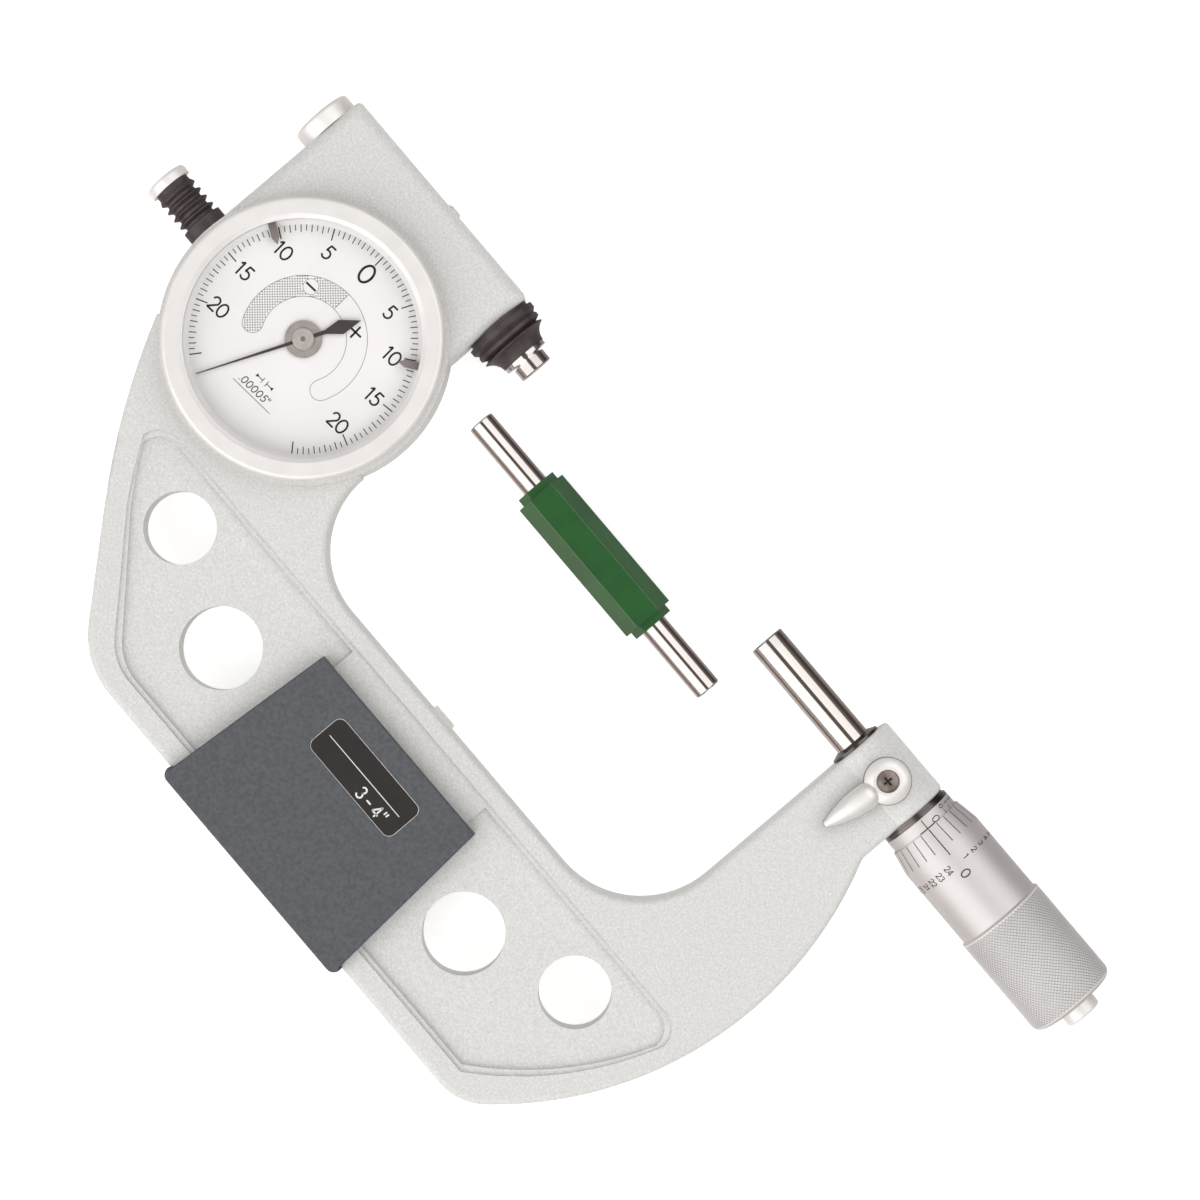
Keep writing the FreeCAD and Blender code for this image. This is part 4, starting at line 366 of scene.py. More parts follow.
@dataclass(frozen=True)
class ClearFinish:
    """Cast acrylic, 1.2 mm thick: clear, with a weak gloss on top.

    The gloss has a share of base straight on, and edge more where the disc is seen aslant. Its
    roughness wanders between both values of smears, over smear_mm.
    """

    name: str = "cast_acrylic_crystal"
    tint: str = "#FEFEFE"
    base: float = 0.012
    edge: float = 0.5
    smears: Pair = (0.02, 0.06)
    smear_mm: float = 25 / 3

    def build(self) -> Material:
        """Mix a clear shader with a sharp gloss that grows by the fifth power of the slant.

        Returns:
            The material.
        """
        material = bare_material(self.name)
        tree = material.node_tree
        slant = add_node(tree, "ShaderNodeLayerWeight", {"Blend": 0.5}).outputs["Facing"]
        steep = add_node(tree, "ShaderNodeMath", {0: slant, 1: 5.0}, operation="POWER").outputs["Value"]
        terms = {0: steep, 1: self.edge, 2: self.base}
        share = add_node(tree, "ShaderNodeMath", terms, operation="MULTIPLY_ADD").outputs["Value"]
        clear = add_node(tree, "ShaderNodeBsdfTransparent", {"Color": linear(self.tint)}).outputs["BSDF"]
        place = add_node(tree, "ShaderNodeTexCoord").outputs["Object"]
        inputs = {"Vector": place, "Scale": 1 / (self.smear_mm * MM), "Detail": 2.0}
        smear = add_node(tree, "ShaderNodeTexNoise", inputs).outputs["Fac"]
        inputs = {"Value": smear, "To Min": self.smears[0], "To Max": self.smears[1]}
        rough = add_node(tree, "ShaderNodeMapRange", inputs).outputs["Result"]
        shine = add_node(tree, "ShaderNodeBsdfGlossy", {"Roughness": rough}).outputs["BSDF"]
        both = add_node(tree, "ShaderNodeMixShader", {0: share, 1: clear, 2: shine}).outputs["Shader"]
        add_node(tree, "ShaderNodeOutputMaterial", {"Surface": both})
        return material


# Cast, sprayed with a mottling enamel and baked: small rounded blisters break the light into a pale grain,
# their hollows darkened as painted shade.
ENAMEL = MottledFinish(
    "mottled_enamel_on_cast_iron", "#E3E2DF", "#D6D4D1", 0.42, grain=Grain.MOTTLED,
    grain_mm=0.5, relief_mm=0.04, patch_mm=0.5, gloss_change=0.08, hollow=0.14,
)
# Turned, blasted fine and pearl-chromed: a broad soft sheen with hardly a turning mark.
PEARL_CHROME = Finish(
    "pearl_chrome", "#E8E4E1", "#E2DEDB", 0.45, metallic=0.3, grain=Grain.TURNED_Z, axis_mm=DIAL_AXIS,
    grain_mm=0.35, relief_mm=0.001,
)
# Turned and dull nickel-plated: pale, the highlight soft and drawn out along the axis.
SATIN_CAP = Finish(
    "satin_nickel_plate", "#F1EEEB", "#E8E4E0", 0.45, metallic=0.35, grain=Grain.TURNED_X,
    grain_mm=0.3, relief_mm=0.001,
)
# Die-cast, tumbled smooth and nickel-plated: round soft highlights, and a painted shadow line where it meets
# the lug.
CAST_NICKEL = JointedFinish(
    "tumbled_nickel_on_zinc", "#EDEAE7", "#E6E2DF", 0.4, metallic=0.42,
    grain_mm=0.5, relief_mm=0.003, axis_mm=CLAMP_AXIS,
)
# Ground and satin-chromed so that it doesn't dazzle: one wide highlight with soft sides.
SATIN_CHROME = Finish(
    "satin_chrome", "#D7D3D1", "#CFCBC9", 0.52, metallic=0.65, grain=Grain.TURNED_X,
    grain_mm=0.12, relief_mm=0.0008, patch_mm=20,
)
# The same chrome over a rolled cross knurl, its shades lighter than the plain chrome's: bright diamond tops,
# the grooves' bottoms darkened as painted shade.
KNURLED_CHROME = KnurledFinish(
    "satin_chrome_over_knurl", "#F2EEEC", "#EAE6E4", 0.5, metallic=0.3, grain=Grain.TURNED_X,
    grain_mm=0.12, relief_mm=0.0008, patch_mm=20,
)
# Turned and blued in hot salt: dark brown-black with sharp narrow highlights.
DARK_STEEL = Finish(
    "blued_ring_steel", "#736B68", "#5F5856", 0.25, metallic=1.0, grain=Grain.TURNED_X,
    grain_mm=0.2, relief_mm=0.0005, patch_mm=10,
)
# Hardened, centreless ground and lapped: nearly a mirror, which shows lamps as long bands with dark between.
GROUND_STEEL = Finish(
    "ground_and_lapped_steel", "#CAC4C0", "#C4BEBA", 0.07, metallic=1.0, grain=Grain.TURNED_X,
    grain_mm=0.2, relief_mm=0.0002, gloss_change=0.03, patch_mm=20,
)
# Sintered and lapped with diamond: a flat grey mirror, duller than steel.
CARBIDE = Finish(
    "lapped_carbide", "#C2BDBA", "#B5B0AD", 0.12, metallic=1.0, grain_mm=0.2, relief_mm=0.0002,
)
# Moulded in a spark-eroded tool: matt, with a fine even grain in two greys.
SLATE_PLASTIC = Finish(
    "spark_eroded_mould_plastic", "#525458", "#45474B", 0.52, grain_mm=0.28, relief_mm=0.02,
    patch_mm=0.9, gloss_change=0.1,
)
# Printed on film and laminated: dark, smooth and slightly glossy.
LABEL_FILM = Finish(
    "black_printed_film", "#1D1715", "#171210", 0.36, grain_mm=0.5, relief_mm=0.002, patch_mm=4,
)
# Screen-printed: flat white with no gloss.
LABEL_INK = Finish("white_label_ink", "#E8E6E2", "#DAD8D4", 0.5, grain_mm=0.3, relief_mm=0.001)
# Machined and chemically blackened: near black, the gloss uneven.
BLACK_STEEL = Finish(
    "blackened_steel", "#2B2A2B", "#1F1E1F", 0.42, metallic=0.8, grain_mm=0.4, relief_mm=0.003,
)
# Moulded in a polished tool and dusted with talc: black-brown, matt, the folds' crests a little paler.
RUBBER = Finish(
    "moulded_nitrile_rubber", "#453A3A", "#372D2E", 0.5, grain_mm=0.35, relief_mm=0.012, patch_mm=2,
)
# Pressed from powder, sintered and reamed: warm and a little porous.
BRONZE = Finish("sintered_bronze", "#B08A4E", "#9C7740", 0.35, metallic=1.0, grain=Grain.TURNED_X)
# Rolled and brushed one way: yellow, with a drawn-out sheen.
BRASS = Finish("rolled_brass_plate", "#CDAA5C", "#BE9B4F", 0.28, metallic=1.0, grain=Grain.BRUSHED_X)
# Hardened and turned, left bare: grey with fine rings.
TOOL_STEEL = Finish("hardened_tool_steel", "#B9B5B2", "#A9A5A2", 0.28, metallic=1.0, grain=Grain.TURNED_X)
# Drawn hard through a die: dark grey and smooth.
SPRING_STEEL = Finish("drawn_spring_steel", "#8F8B88", "#7E7A78", 0.3, metallic=1.0, grain_mm=0.2)
# Spun in the lathe with a pointed tool: rings about the dial's axis catch the light one by one, their
# hollows darkened as painted shade. They are drawn wider than the tool's feed, so that they show.
HUB_STEEL = MottledFinish(
    "spun_hub_steel", "#DDD4CF", "#CEC5C0", 0.34, metallic=0.85, grain=Grain.TURNED_Z, axis_mm=DIAL_AXIS,
    grain_mm=0.45, relief_mm=0.05, patch_mm=2, hollow=0.42,
)
# Faced in the lathe: faint rings about the dial's axis, their hollows darkened as painted shade.
CAP_STEEL = MottledFinish(
    "faced_cap_steel", "#EDE4DF", "#E1D8D3", 0.34, metallic=0.75, grain=Grain.TURNED_Z, axis_mm=DIAL_AXIS,
    grain_mm=0.35, relief_mm=0.06, patch_mm=1.2, hollow=0.42,
)
# Machined and worn by the driver: brownish and dim.
SCREW_STEEL = Finish(
    "oiled_screw_steel", "#8E827B", "#7C716B", 0.32, metallic=0.9, grain_mm=0.4, relief_mm=0.002, patch_mm=1,
)
# Painted shade at the bottom of the slot: a black, dull sheet.
SLOT_SHADE = Finish("painted_shade_in_screw_slot", "#171312", "#0F0C0B", 0.6, grain_mm=0.2, relief_mm=0.002)
# Sprayed and rubbed down: an even white without grain.
DIAL_PAINT = Finish(
    "sprayed_dial_paint", "#F4F1F0", "#F0EDEC", 0.5, grain_mm=0.12, relief_mm=0.0008, patch_mm=14,
    coat=0.1,
)
# Turned and sprayed pale grey: soft, with faint rings.
RING_PAINT = Finish(
    "painted_dial_ring", "#F4F2F1", "#EEECEB", 0.45, grain=Grain.TURNED_Z, axis_mm=DIAL_AXIS, grain_mm=0.3,
    relief_mm=0.001,
)
# Stamped thin and dip-painted: flat brownish greys, slightly glossy.
HAND_PAINT = Finish("painted_limit_hand", "#857A77", "#7A6F6C", 0.45, grain_mm=0.3, relief_mm=0.002)
NEEDLE_PAINT = Finish("lacquered_needle", "#443937", "#382F2D", 0.4, grain_mm=0.3, relief_mm=0.002)
# Moulded clear through in one shot: deep green, the facets' gloss clear where they are seen aslant.
GREEN_PLASTIC = Finish(
    "moulded_green_styrene", "#13561C", "#0F4B16", 0.3, grain_mm=4.0, relief_mm=0.004, patch_mm=9,
    gloss_change=0.03, coat=0.7, coat_roughness=0.16,
)
# Pad-printed: thin flat films, the bold one black and the fine one greyer for lack of ink.
DIAL_INK = Finish("black_dial_ink", "#0C0909", "#080606", 0.55, grain_mm=0.3, relief_mm=0.001)
THIN_INK = Finish("grey_dial_ink", "#5A5453", "#4F4948", 0.55, grain_mm=0.3, relief_mm=0.001)
# Lines cut by the graver and filled with ink: black and dull.
CUT_INK = Finish("ink_in_cut_graduations", "#1C1819", "#151212", 0.6, grain_mm=0.2, relief_mm=0.001)

SOFT_FINISHES = {"dark_rubber": RUBBER, "spring_steel": SPRING_STEEL}
NODE_FINISHES: dict[Finish | ClearFinish, tuple[str, ...]] = {
    ENAMEL: ("frame",),
    SLATE_PLASTIC: ("insulating_plate_front", "insulating_plate_back"),
    LABEL_FILM: ("label_plate",),
    BLACK_STEEL: ("insulating_plate_screws", "back_cover_screws"),
    SATIN_CAP: (
        "anvil_end_cap", "retract_button_cap", "side_plug", "throat_stop", "thimble_end_knob",
    ),
    DARK_STEEL: ("spindle_nose_ring", "seal_ring"),
    CAST_NICKEL: ("clamp_lever",),
    PEARL_CHROME: ("bezel", "back_cover"),
    BRONZE: ("anvil_bush_front", "anvil_bush_rear"),
    GROUND_STEEL: ("anvil", "spindle", "standard_rod", "retract_plunger", "bellows_clamp_ring"),
    CARBIDE: ("anvil_tip", "spindle_tip"),
    TOOL_STEEL: (
        "anvil_driver", "lifting_lever", "lifting_lever_pin", "pointer_arbor", "clamp_bolt", "inner_sleeve",
        "adjusting_nut", "movement_screws",
    ),
    RUBBER: ("crystal_gasket",),
    SPRING_STEEL: ("hairspring",),
    BRASS: (
        "movement_plate_rear", "movement_plate_front", "movement_pillars", "lever_sector", "gear_sector",
    ),
    DIAL_PAINT: ("dial_face",),
    RING_PAINT: ("dial_ring",),
    HAND_PAINT: ("low_limit_hand", "high_limit_hand"),
    NEEDLE_PAINT: ("pointer",),
    HUB_STEEL: ("pointer_hub_disc",),
    CAP_STEEL: ("pointer_hub_cap",),
    SCREW_STEEL: ("clamp_screw",),
    GREEN_PLASTIC: ("standard_grip",),
    SATIN_CHROME: ("graduated_sleeve", "thimble"),
    ClearFinish(): ("crystal",),
}


@dataclass
class Ribbons:
    """Flat printed lines, gathered as strips about their middle lines.

    A strip of half width w along points p with unit side vectors n has its edges at p + w n and
    p - w n. Round ends add half circles of the same width.
    """

    points: list[Array] = field(default_factory=list)
    faces: list[Array] = field(default_factory=list)
    count: int = 0

    def add(self, points: Array, faces: Array) -> None:
        """Add a patch of points and the faces between them.

        Args:
            points: an n by 2 array.
            faces: rows of four corners, counted from the patch's first.
        """
        self.points.append(points)
        self.faces.append(faces + self.count)
        self.count += len(points)

    def line(self, path: Array, width: float) -> None:
        """Add a strip of one width along a path of flat points, with round ends.

        Long steps of the path are cut to LINE_STEP, so that the strip can lie on a round skin. Its
        tips keep a fiftieth of the width, so that no face shrinks to nothing.

        Args:
            path: an n by 2 array.
            width: the strip's width.
        """
        run = np.concatenate([[0.0], np.cumsum(np.linalg.norm(np.diff(path, axis=0), axis=1))])
        places = np.unique(np.round(np.concatenate([run, np.arange(0.0, run[-1], LINE_STEP)]), 3))
        path = np.stack([np.interp(places, run, path[:, 0]), np.interp(places, run, path[:, 1])], axis=1)
        ahead = np.gradient(path, axis=0)
        ahead /= np.linalg.norm(ahead, axis=1, keepdims=True)
        side = np.stack([-ahead[:, 1], ahead[:, 0]], axis=1)
        half = width / 2
        turns = np.linspace(0, np.pi / 2, 4)[1:]
        back = path[0] - half * np.sin(turns)[::-1, None] * ahead[0]
        front = path[-1] + half * np.sin(turns)[:, None] * ahead[-1]
        spread = np.cos(turns) * half
        centre = np.concatenate([back, path, front])
        across = np.concatenate([np.repeat(side[:1], 3, 0), side, np.repeat(side[-1:], 3, 0)])
        halves = np.concatenate([spread[::-1], np.full(len(path), half), spread])[:, None]
        halves = np.maximum(halves, width / 100)
        points = np.stack([centre + across * halves, centre - across * halves], axis=1).reshape(-1, 2)
        start = np.arange(len(centre) - 1) * 2
        self.add(points, np.stack([start, start + 1, start + 3, start + 2], axis=1))

    def bar(self, start: Pair | Array, end: Pair | Array, width: float) -> None:
        """Add a straight line with square ends, cut every BAR_STEP or less so that it bends on a skin.

        Args:
            start: the middle of one end.
            end: the middle of the other end.
            width: the strip's width.
        """
        a, b = np.array(start, float), np.array(end, float)
        length = np.linalg.norm(b - a)
        ahead = (b - a) / length
        side = np.array([-ahead[1], ahead[0]]) * width / 2
        steps = max(2, int(length / BAR_STEP) + 1)
        middle = a + np.linspace(0, 1, steps)[:, None] * (b - a)
        points = np.stack([middle + side, middle - side], axis=1).reshape(-1, 2)
        first = np.arange(steps - 1) * 2
        self.add(points, np.stack([first, first + 1, first + 3, first + 2], axis=1))

    def wedge(self, corners: list[Array]) -> None:
        """Add a filled triangle, its corners counterclockwise."""
        self.add(np.array(corners, float), np.array([[0, 1, 2, 2]]))

    def flat(self) -> Array:
        """Return all points as one n by 2 array."""
        return np.concatenate(self.points)

    def corners(self) -> list[Array]:
        """Return the faces, three-cornered ones without their doubled corner.

        Returns:
            The four-cornered faces and the three-cornered ones.
        """
        faces = np.concatenate(self.faces)
        doubled = faces[:, 2] == faces[:, 3]
        return [faces[~doubled], faces[doubled][:, :3]]


@dataclass
class Workshop:
    """Keeps each finish's material, puts them on nodes and makes pieces of meshes."""

    made: dict[str, Material] = field(default_factory=dict)

    def material(self, finish: Finish | ClearFinish) -> Material:
        """Return the finish's material, built the first time it is asked for.

        Args:
            finish: the finish.

        Returns:
            Its material.
        """
        if finish.name not in self.made:
            self.made[finish.name] = finish.build()
        return self.made[finish.name]

    def dress(self, node: str, finish: Finish | ClearFinish) -> None:
        """Put a finish on a carried-over node.

        Args:
            node: the node's name.
            finish: its finish.
        """
        mesh = frame["nodes"][node].data
        mesh.materials.clear()
        mesh.materials.append(self.material(finish))

    def piece(
        self, name: str, points: Array, faces: list[Array], finish: Finish, body: str, slot: str
    ) -> bpy.types.Object:
        """Make one piece of the object, shaded smooth.

        Args:
            name: the piece's name.
            points: an n by 3 array, in millimetres.
            faces: arrays of face corners, each with three or four columns.
            finish: the piece's finish.
            body: the body that it rides on.
            slot: the record's material slot that its finish stands for; not used.

        Returns:
            The new object.
        """
        mesh = bpy.data.meshes.new(name)
        corners = [face for block in faces for face in block.tolist()]
        mesh.from_pydata((points * MM).tolist(), [], corners)
        mesh.polygons.foreach_set("use_smooth", np.ones(len(mesh.polygons), bool))
        mesh.materials.append(self.material(finish))
        made = bpy.data.objects.new(name, mesh)
        bpy.context.scene.collection.objects.link(made)
        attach(made, body)
        LOG.info("%s: %d faces on %s", name, len(corners), body)
        return made

    def flat_print(self, name: str, marks: Ribbons, level: float, look: tuple[Finish, str, str]) -> None:
        """Make a piece of marks that lie level.

        Args:
            name: the piece's name.
            marks: its strips.
            level: its height.
            look: finish, body and slot.
        """
        flat = marks.flat()
        self.piece(name, np.column_stack([flat, np.full(len(flat), level)]), marks.corners(), *look)

    def round_print(self, name: str, marks: Ribbons, radius: float, skin: Array | float, body: str) -> None:
        """Make a piece of marks cut in chromed steel about the spindle's line.

        A mark at (x, y) goes to x along the line and to the turn y / radius about it, from +Z
        towards +Y.

        Args:
            name: the piece's name.
            marks: its strips.
            radius: the radius at which the marks were laid out.
            skin: how far each point lies from the line.
            body: the body that it rides on.
        """
        flat = marks.flat()
        turn = flat[:, 1] / radius
        points = np.column_stack([flat[:, 0], skin * np.sin(turn), skin * np.cos(turn)])
        self.piece(name, points, marks.corners(), CUT_INK, body, "satin_chrome")


@dataclass(frozen=True)
class Yielding:
    """The bellows and coil springs, which shorten as their joint moves.

    Each is a welded copy of its node; nothing here shortens it. At the joint's limit a place at x has gone
    to a + k (x - a), where a is the end that stays and k the share of the length that is left.
    """

    sharp_deg: float = 30.0

    def welded(self, node: str) -> tuple[Array, list[Array]]:
        """Read a node's loose triangles and join the corners that meet.

        Args:
            node: the node's name.

        Returns:
            The points in millimetres, and the triangles' corners as one block.
        """
        mesh = frame["nodes"][node].data
        places = np.zeros(3 * len(mesh.vertices), np.float32)
        mesh.vertices.foreach_get("co", places)
        corners = np.zeros(len(mesh.loops), np.int32)
        mesh.loops.foreach_get("vertex_index", corners)
        points, joins = np.unique(np.round(places.reshape(-1, 3) / MM, 4), axis=0, return_inverse=True)
        faces = joins.reshape(-1)[corners].reshape(-1, 3)
        whole = (faces != np.roll(faces, 1, axis=1)).all(axis=1)
        return points, [faces[whole]]

    def build(self, shop: Workshop) -> None:
        """Copy each node that the record lets shorten along X, and hang the copy on the joint's parent body.

        Args:
            shop: the workshop that makes the pieces.
        """
        slots = {part["node"]: part["material_slot"] for part in frame["record"]["subparts"]}
        for joint in frame["record"]["behaviour"]["joints"]:
            for soft in joint.get("deforming_nodes", []):
                if soft["mode"] != "scale_x":
                    continue
                node, still = soft["node"], soft["fixed_end_x_m"]
                look = SOFT_FINISHES[slots[node]], joint["parent"], slots[node]
                piece = shop.piece(f"{node}_yielding", *self.welded(node), *look)
                piece.data.set_sharp_from_angle(angle=math.radians(self.sharp_deg))
                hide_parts(node)
                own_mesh(piece)


def arc(x: float, y: float, across: float, up: float, start: float, end: float, steps: int) -> Array:
    """Points on an ellipse: centre plus (across cos a, up sin a) for a from start to end in degrees."""
    turns = np.radians(np.linspace(start, end, steps))
    return np.stack([x + across * np.cos(turns), y + up * np.sin(turns)], axis=1)


def joined(*parts: Array | Pair) -> Array:
    """Join single points and arcs into one path, without doubled points.

    Args:
        parts: points and n by 2 arrays, in order.

    Returns:
        An n by 2 array.
    """
    path = np.concatenate([np.atleast_2d(np.array(part, float)) for part in parts])
    steps = np.linalg.norm(np.diff(path, axis=0), axis=1)
    return path[np.concatenate([[True], steps > 1e-6])]


# Each sign is drawn in a box one unit high; its number is how far the next one starts, with SIGN_SPACE.
SIGN_SPACE = 0.14
SIGNS: dict[str, tuple[float, list[Array]]] = {
    "0": (0.86, [arc(0.36, 0.5, 0.33, 0.5, 0, 360, 30)]),
    "1": (0.5, [joined((0.04, 0.82), (0.22, 1.0), (0.22, 0.0))]),
    "2": (0.74, [joined(arc(0.31, 0.7, 0.27, 0.3, 165, -30, 16), (0.04, 0.0), (0.62, 0.0))]),
    "3": (0.72, [joined(
        arc(0.28, 0.76, 0.24, 0.24, 150, -80, 12), arc(0.28, 0.27, 0.27, 0.27, 80, -150, 14),
    )]),
    "4": (0.74, [joined((0.62, 0.24), (0.02, 0.24), (0.48, 1.0), (0.48, 0.0))]),
    "5": (0.72, [joined((0.56, 1.0), (0.18, 1.0), (0.11, 0.56), arc(0.28, 0.31, 0.3, 0.31, 115, -140, 16))]),
    "6": (0.72, [joined((0.44, 1.0), (0.08, 0.42), arc(0.32, 0.3, 0.28, 0.3, 150, 510, 24))]),
    "7": (0.66, [joined((0.02, 1.0), (0.56, 1.0), (0.16, 0.0))]),
    "8": (0.74, [arc(0.32, 0.76, 0.22, 0.24, 0, 360, 20), arc(0.32, 0.27, 0.28, 0.27, 0, 360, 22)]),
    "9": (0.72, [joined((0.2, 0.0), (0.56, 0.58), arc(0.32, 0.7, 0.28, 0.3, -30, 330, 24))]),
    ".": (0.26, [joined((0.08, 0.03), (0.12, 0.03))]),
    "-": (0.62, [joined((0.08, 0.42), (0.44, 0.42))]),
    '"': (0.36, [joined((0.02, 1.0), (0.0, 0.78)), joined((0.26, 1.0), (0.24, 0.78))]),
}


@dataclass(frozen=True)
class Lettering:
    """Signs drawn with a pen of one width: their height, weight and slant, in millimetres.

    slant leans a sign to the right by that share of its height, and gap is added after each.
    """

    height: float
    weight: float
    slant: float = 0.0
    gap: float = 0.0

    def width(self, words: str) -> float:
        """Return how long the words are."""
        return (sum(SIGNS[sign][0] + self.gap for sign in words) - SIGN_SPACE) * self.height

    def write(self, ribbons: Ribbons, words: str, x: float, y: float, turn: float) -> None:
        """Write words about a middle point.

        Args:
            ribbons: where the strokes are gathered.
            words: signs of SIGNS.
            x: the middle's place across.
            y: the middle's place upwards.
            turn: the direction in which the words run, in degrees.
        """
        along = -self.width(words) / 2
        cos, sin = math.cos(math.radians(turn)), math.sin(math.radians(turn))
        for sign in words:
            advance, strokes = SIGNS[sign]
            for stroke in strokes:
                run = stroke * self.height + (along, -self.height / 2)
                run[:, 0] += self.slant * run[:, 1]
                ribbons.line(run @ [[cos, sin], [-sin, cos]] + (x, y), self.weight)
            along += (advance + self.gap) * self.height


@dataclass
class Dial:
    """The printed scale of the indicator and its signs.

    A place on the dial is a radius and an angle about its middle. A line's pair is its length, or
    half of it where it has a middle, and its width. The ring's pair is its radius and its width.
    """

    centre: Pair = DIAL_AXIS
    level: float = 8.92
    zero: float = 95.5
    step: float = 5.667
    rim: float = 24.5
    half_tick: Pair = (1.25, 0.18)
    whole_tick: Pair = (1.6, 0.2)
    fifth_tick: Pair = (2.6, 0.26)
    nought_radius: float = 19.4
    figure_radius: float = 19.3
    plus: Pair = (11.2, 57.5)
    plus_arm: Pair = (1.6, 0.46)
    minus: Pair = (11.35, 131.5)
    minus_arm: Pair = (1.4, 0.46)
    minus_ring: Pair = (1.7, 0.09)
    arrows: Pair = (-35.2, -46.1)
    arrow_gap: float = 0.55
    arrow_bar: Pair = (0.7, 0.16)
    arrow_shaft: Pair = (1.1, 0.18)
    arrow_start: float = 1.0
    arrow_head: Pair = (0.8, 0.42)
    step_words: Pair = (-35.4, -48.7)
    rule: Pair = (5.4, 0.13)
    rule_drop: float = 4.1
    band_radius: float = 11.425
    band_half: float = 2.225
    band_split: float = 94.3
    band_left: float = 211.0
    band_right: float = -22.0
    hatch_step: float = 0.54
    hatch_bar: Pair = (0.216, 0.09)
    hatch_gap: float = 0.15
    hatch_inset: float = 0.1
    thin_line: float = 0.1

    def spot(self, radius: float, angle: float) -> Pair:
        """Return a place on the dial from its radius and its angle in the frame, in degrees."""
        turn = math.radians(angle)
        return (self.centre[0] + radius * math.cos(turn), self.centre[1] + radius * math.sin(turn))

    def ways(self, tilt: float) -> tuple[Array, Array]:
        """Return the directions right and up of signs that stand tilt degrees off the zero's line.

        Args:
            tilt: degrees.

        Returns:
            Two unit vectors.
        """
        turn = math.radians(self.zero - 90 + tilt)
        right = np.array([math.cos(turn), math.sin(turn)])
        return right, np.array([-right[1], right[0]])

    def ticks(self) -> Ribbons:
        """Gather the half, whole and fifth ticks of the scale, from -25 to 25 units.

        Returns:
            The strips.
        """
        ribbons = Ribbons()
        for half in range(-50, 51):
            angle = self.zero + half * self.step / 2
            length, width = self.half_tick if half % 2 else self.whole_tick
            if half % 10 == 0:
                length, width = self.fifth_tick
            ribbons.bar(self.spot(self.rim, angle), self.spot(self.rim - length, angle), width)
        return ribbons

    def numerals(self) -> Ribbons:
        """Gather the figures and the bold signs.

        Returns:
            The strips.
        """
        ribbons = Ribbons()
        across = self.zero - 90
        Lettering(4.1, 0.54).write(ribbons, "0", *self.spot(self.nought_radius, self.zero), across)
        plain = Lettering(3.0, 0.43)
        for number in (5, 10, 15, 20):
            for way in (-1, 1):
                place = self.spot(self.figure_radius, self.zero + way * number * self.step)
                plain.write(ribbons, str(number), *place, across)
        right, up = self.ways(0)
        for place, (reach, width), arms in (
            (self.plus, self.plus_arm, (right, up)),
            (self.minus, self.minus_arm, (right,)),
        ):
            middle = np.array(self.spot(*place))
            for arm in arms:
                ribbons.bar(middle - reach * arm, middle + reach * arm, width)
        return ribbons

    def fine_print(self) -> Ribbons:
        """Gather the step of the scale in inches, with its two arrows and its rule.

        Returns:
            The strips.
        """
        ribbons = Ribbons()
        right, up = self.ways(0)
        middle = np.array(self.arrows)
        reach, width = self.arrow_bar
        shaft, shaft_width = self.arrow_shaft
        head, half = self.arrow_head
        for way in (-1, 1):
            line = middle + self.arrow_gap * way * right
            ribbons.bar(line - reach * up, line + reach * up, width)
            ribbons.bar(line, line + shaft * way * right, shaft_width)
            tip = line + self.arrow_start * way * right
            back = tip + head * way * right
            ends = [back + half * up, back - half * up, tip]
            ribbons.wedge(ends if way < 0 else ends[::-1])
        letters = Lettering(1.55, 0.22, slant=0.12, gap=0.08)
        letters.write(ribbons, '.00005"', *self.step_words, self.zero - 90)
        reach, width = self.rule
        under = middle - self.rule_drop * up
        ribbons.bar(under - reach * right, under + reach * right, width)
        return ribbons

    def band(self) -> Ribbons:
        """Gather the outline of both halves of the ring band about the hub, and the minus sign's circle.

        Returns:
            The strips.
        """
        ribbons = Ribbons()
        middle, half, left, right = self.band_radius, self.band_half, self.band_left, self.band_right
        inner, outer = middle - half, middle + half
        outline = joined(
            arc(*self.centre, outer, outer, right, left, 120),
            arc(*self.spot(middle, left), half, half, left, left + 180, 18),
            arc(*self.centre, inner, inner, left, right, 120),
            arc(*self.spot(middle, right), half, half, right + 180, right + 360, 18),
        )
        ribbons.line(outline, self.thin_line)
        ribbons.bar(self.spot(inner, self.band_split), self.spot(outer, self.band_split), self.thin_line)
        ring, width = self.minus_ring
        ribbons.line(arc(*self.spot(*self.minus), ring, ring, 0, 360, 40), width)
        return ribbons

    def hatching(self) -> Ribbons:
        """Gather the crossed hatching of the minus half: short bars along both ways of a square grid.

        A grid point belongs where its radius and angle lie in the band or in its round end, and
        outside the minus sign's circle.

        Returns:
            The strips.
        """
        ribbons = Ribbons()
        right, up = self.ways(-45)
        reach, width = self.hatch_bar
        room = self.band_half - self.hatch_inset
        most = int((self.band_radius + self.band_half) / self.hatch_step) + 2
        cells = np.arange(-most, most + 1) * self.hatch_step
        spots = np.stack(np.meshgrid(cells, cells), axis=-1).reshape(-1, 2) @ [right, up]
        radius = np.linalg.norm(spots, axis=1)
        angle = np.degrees(np.arctan2(spots[:, 1], spots[:, 0])) % 360
        end = np.array(self.spot(self.band_radius, self.band_left)) - self.centre
        sign = np.array(self.spot(*self.minus)) - self.centre
        in_turn = (angle > self.band_split) & (angle < self.band_left)
        in_band = (abs(radius - self.band_radius) < room) & in_turn
        in_end = (np.linalg.norm(spots - end, axis=1) < room) & (angle >= self.band_left)
        clear = np.linalg.norm(spots - sign, axis=1) > self.minus_ring[0] + self.hatch_gap
        for spot in spots[(in_band | in_end) & clear] + self.centre:
            ribbons.bar(spot - reach * right, spot + reach * right, width)
            ribbons.bar(spot - reach * up, spot + reach * up, width)
        return ribbons

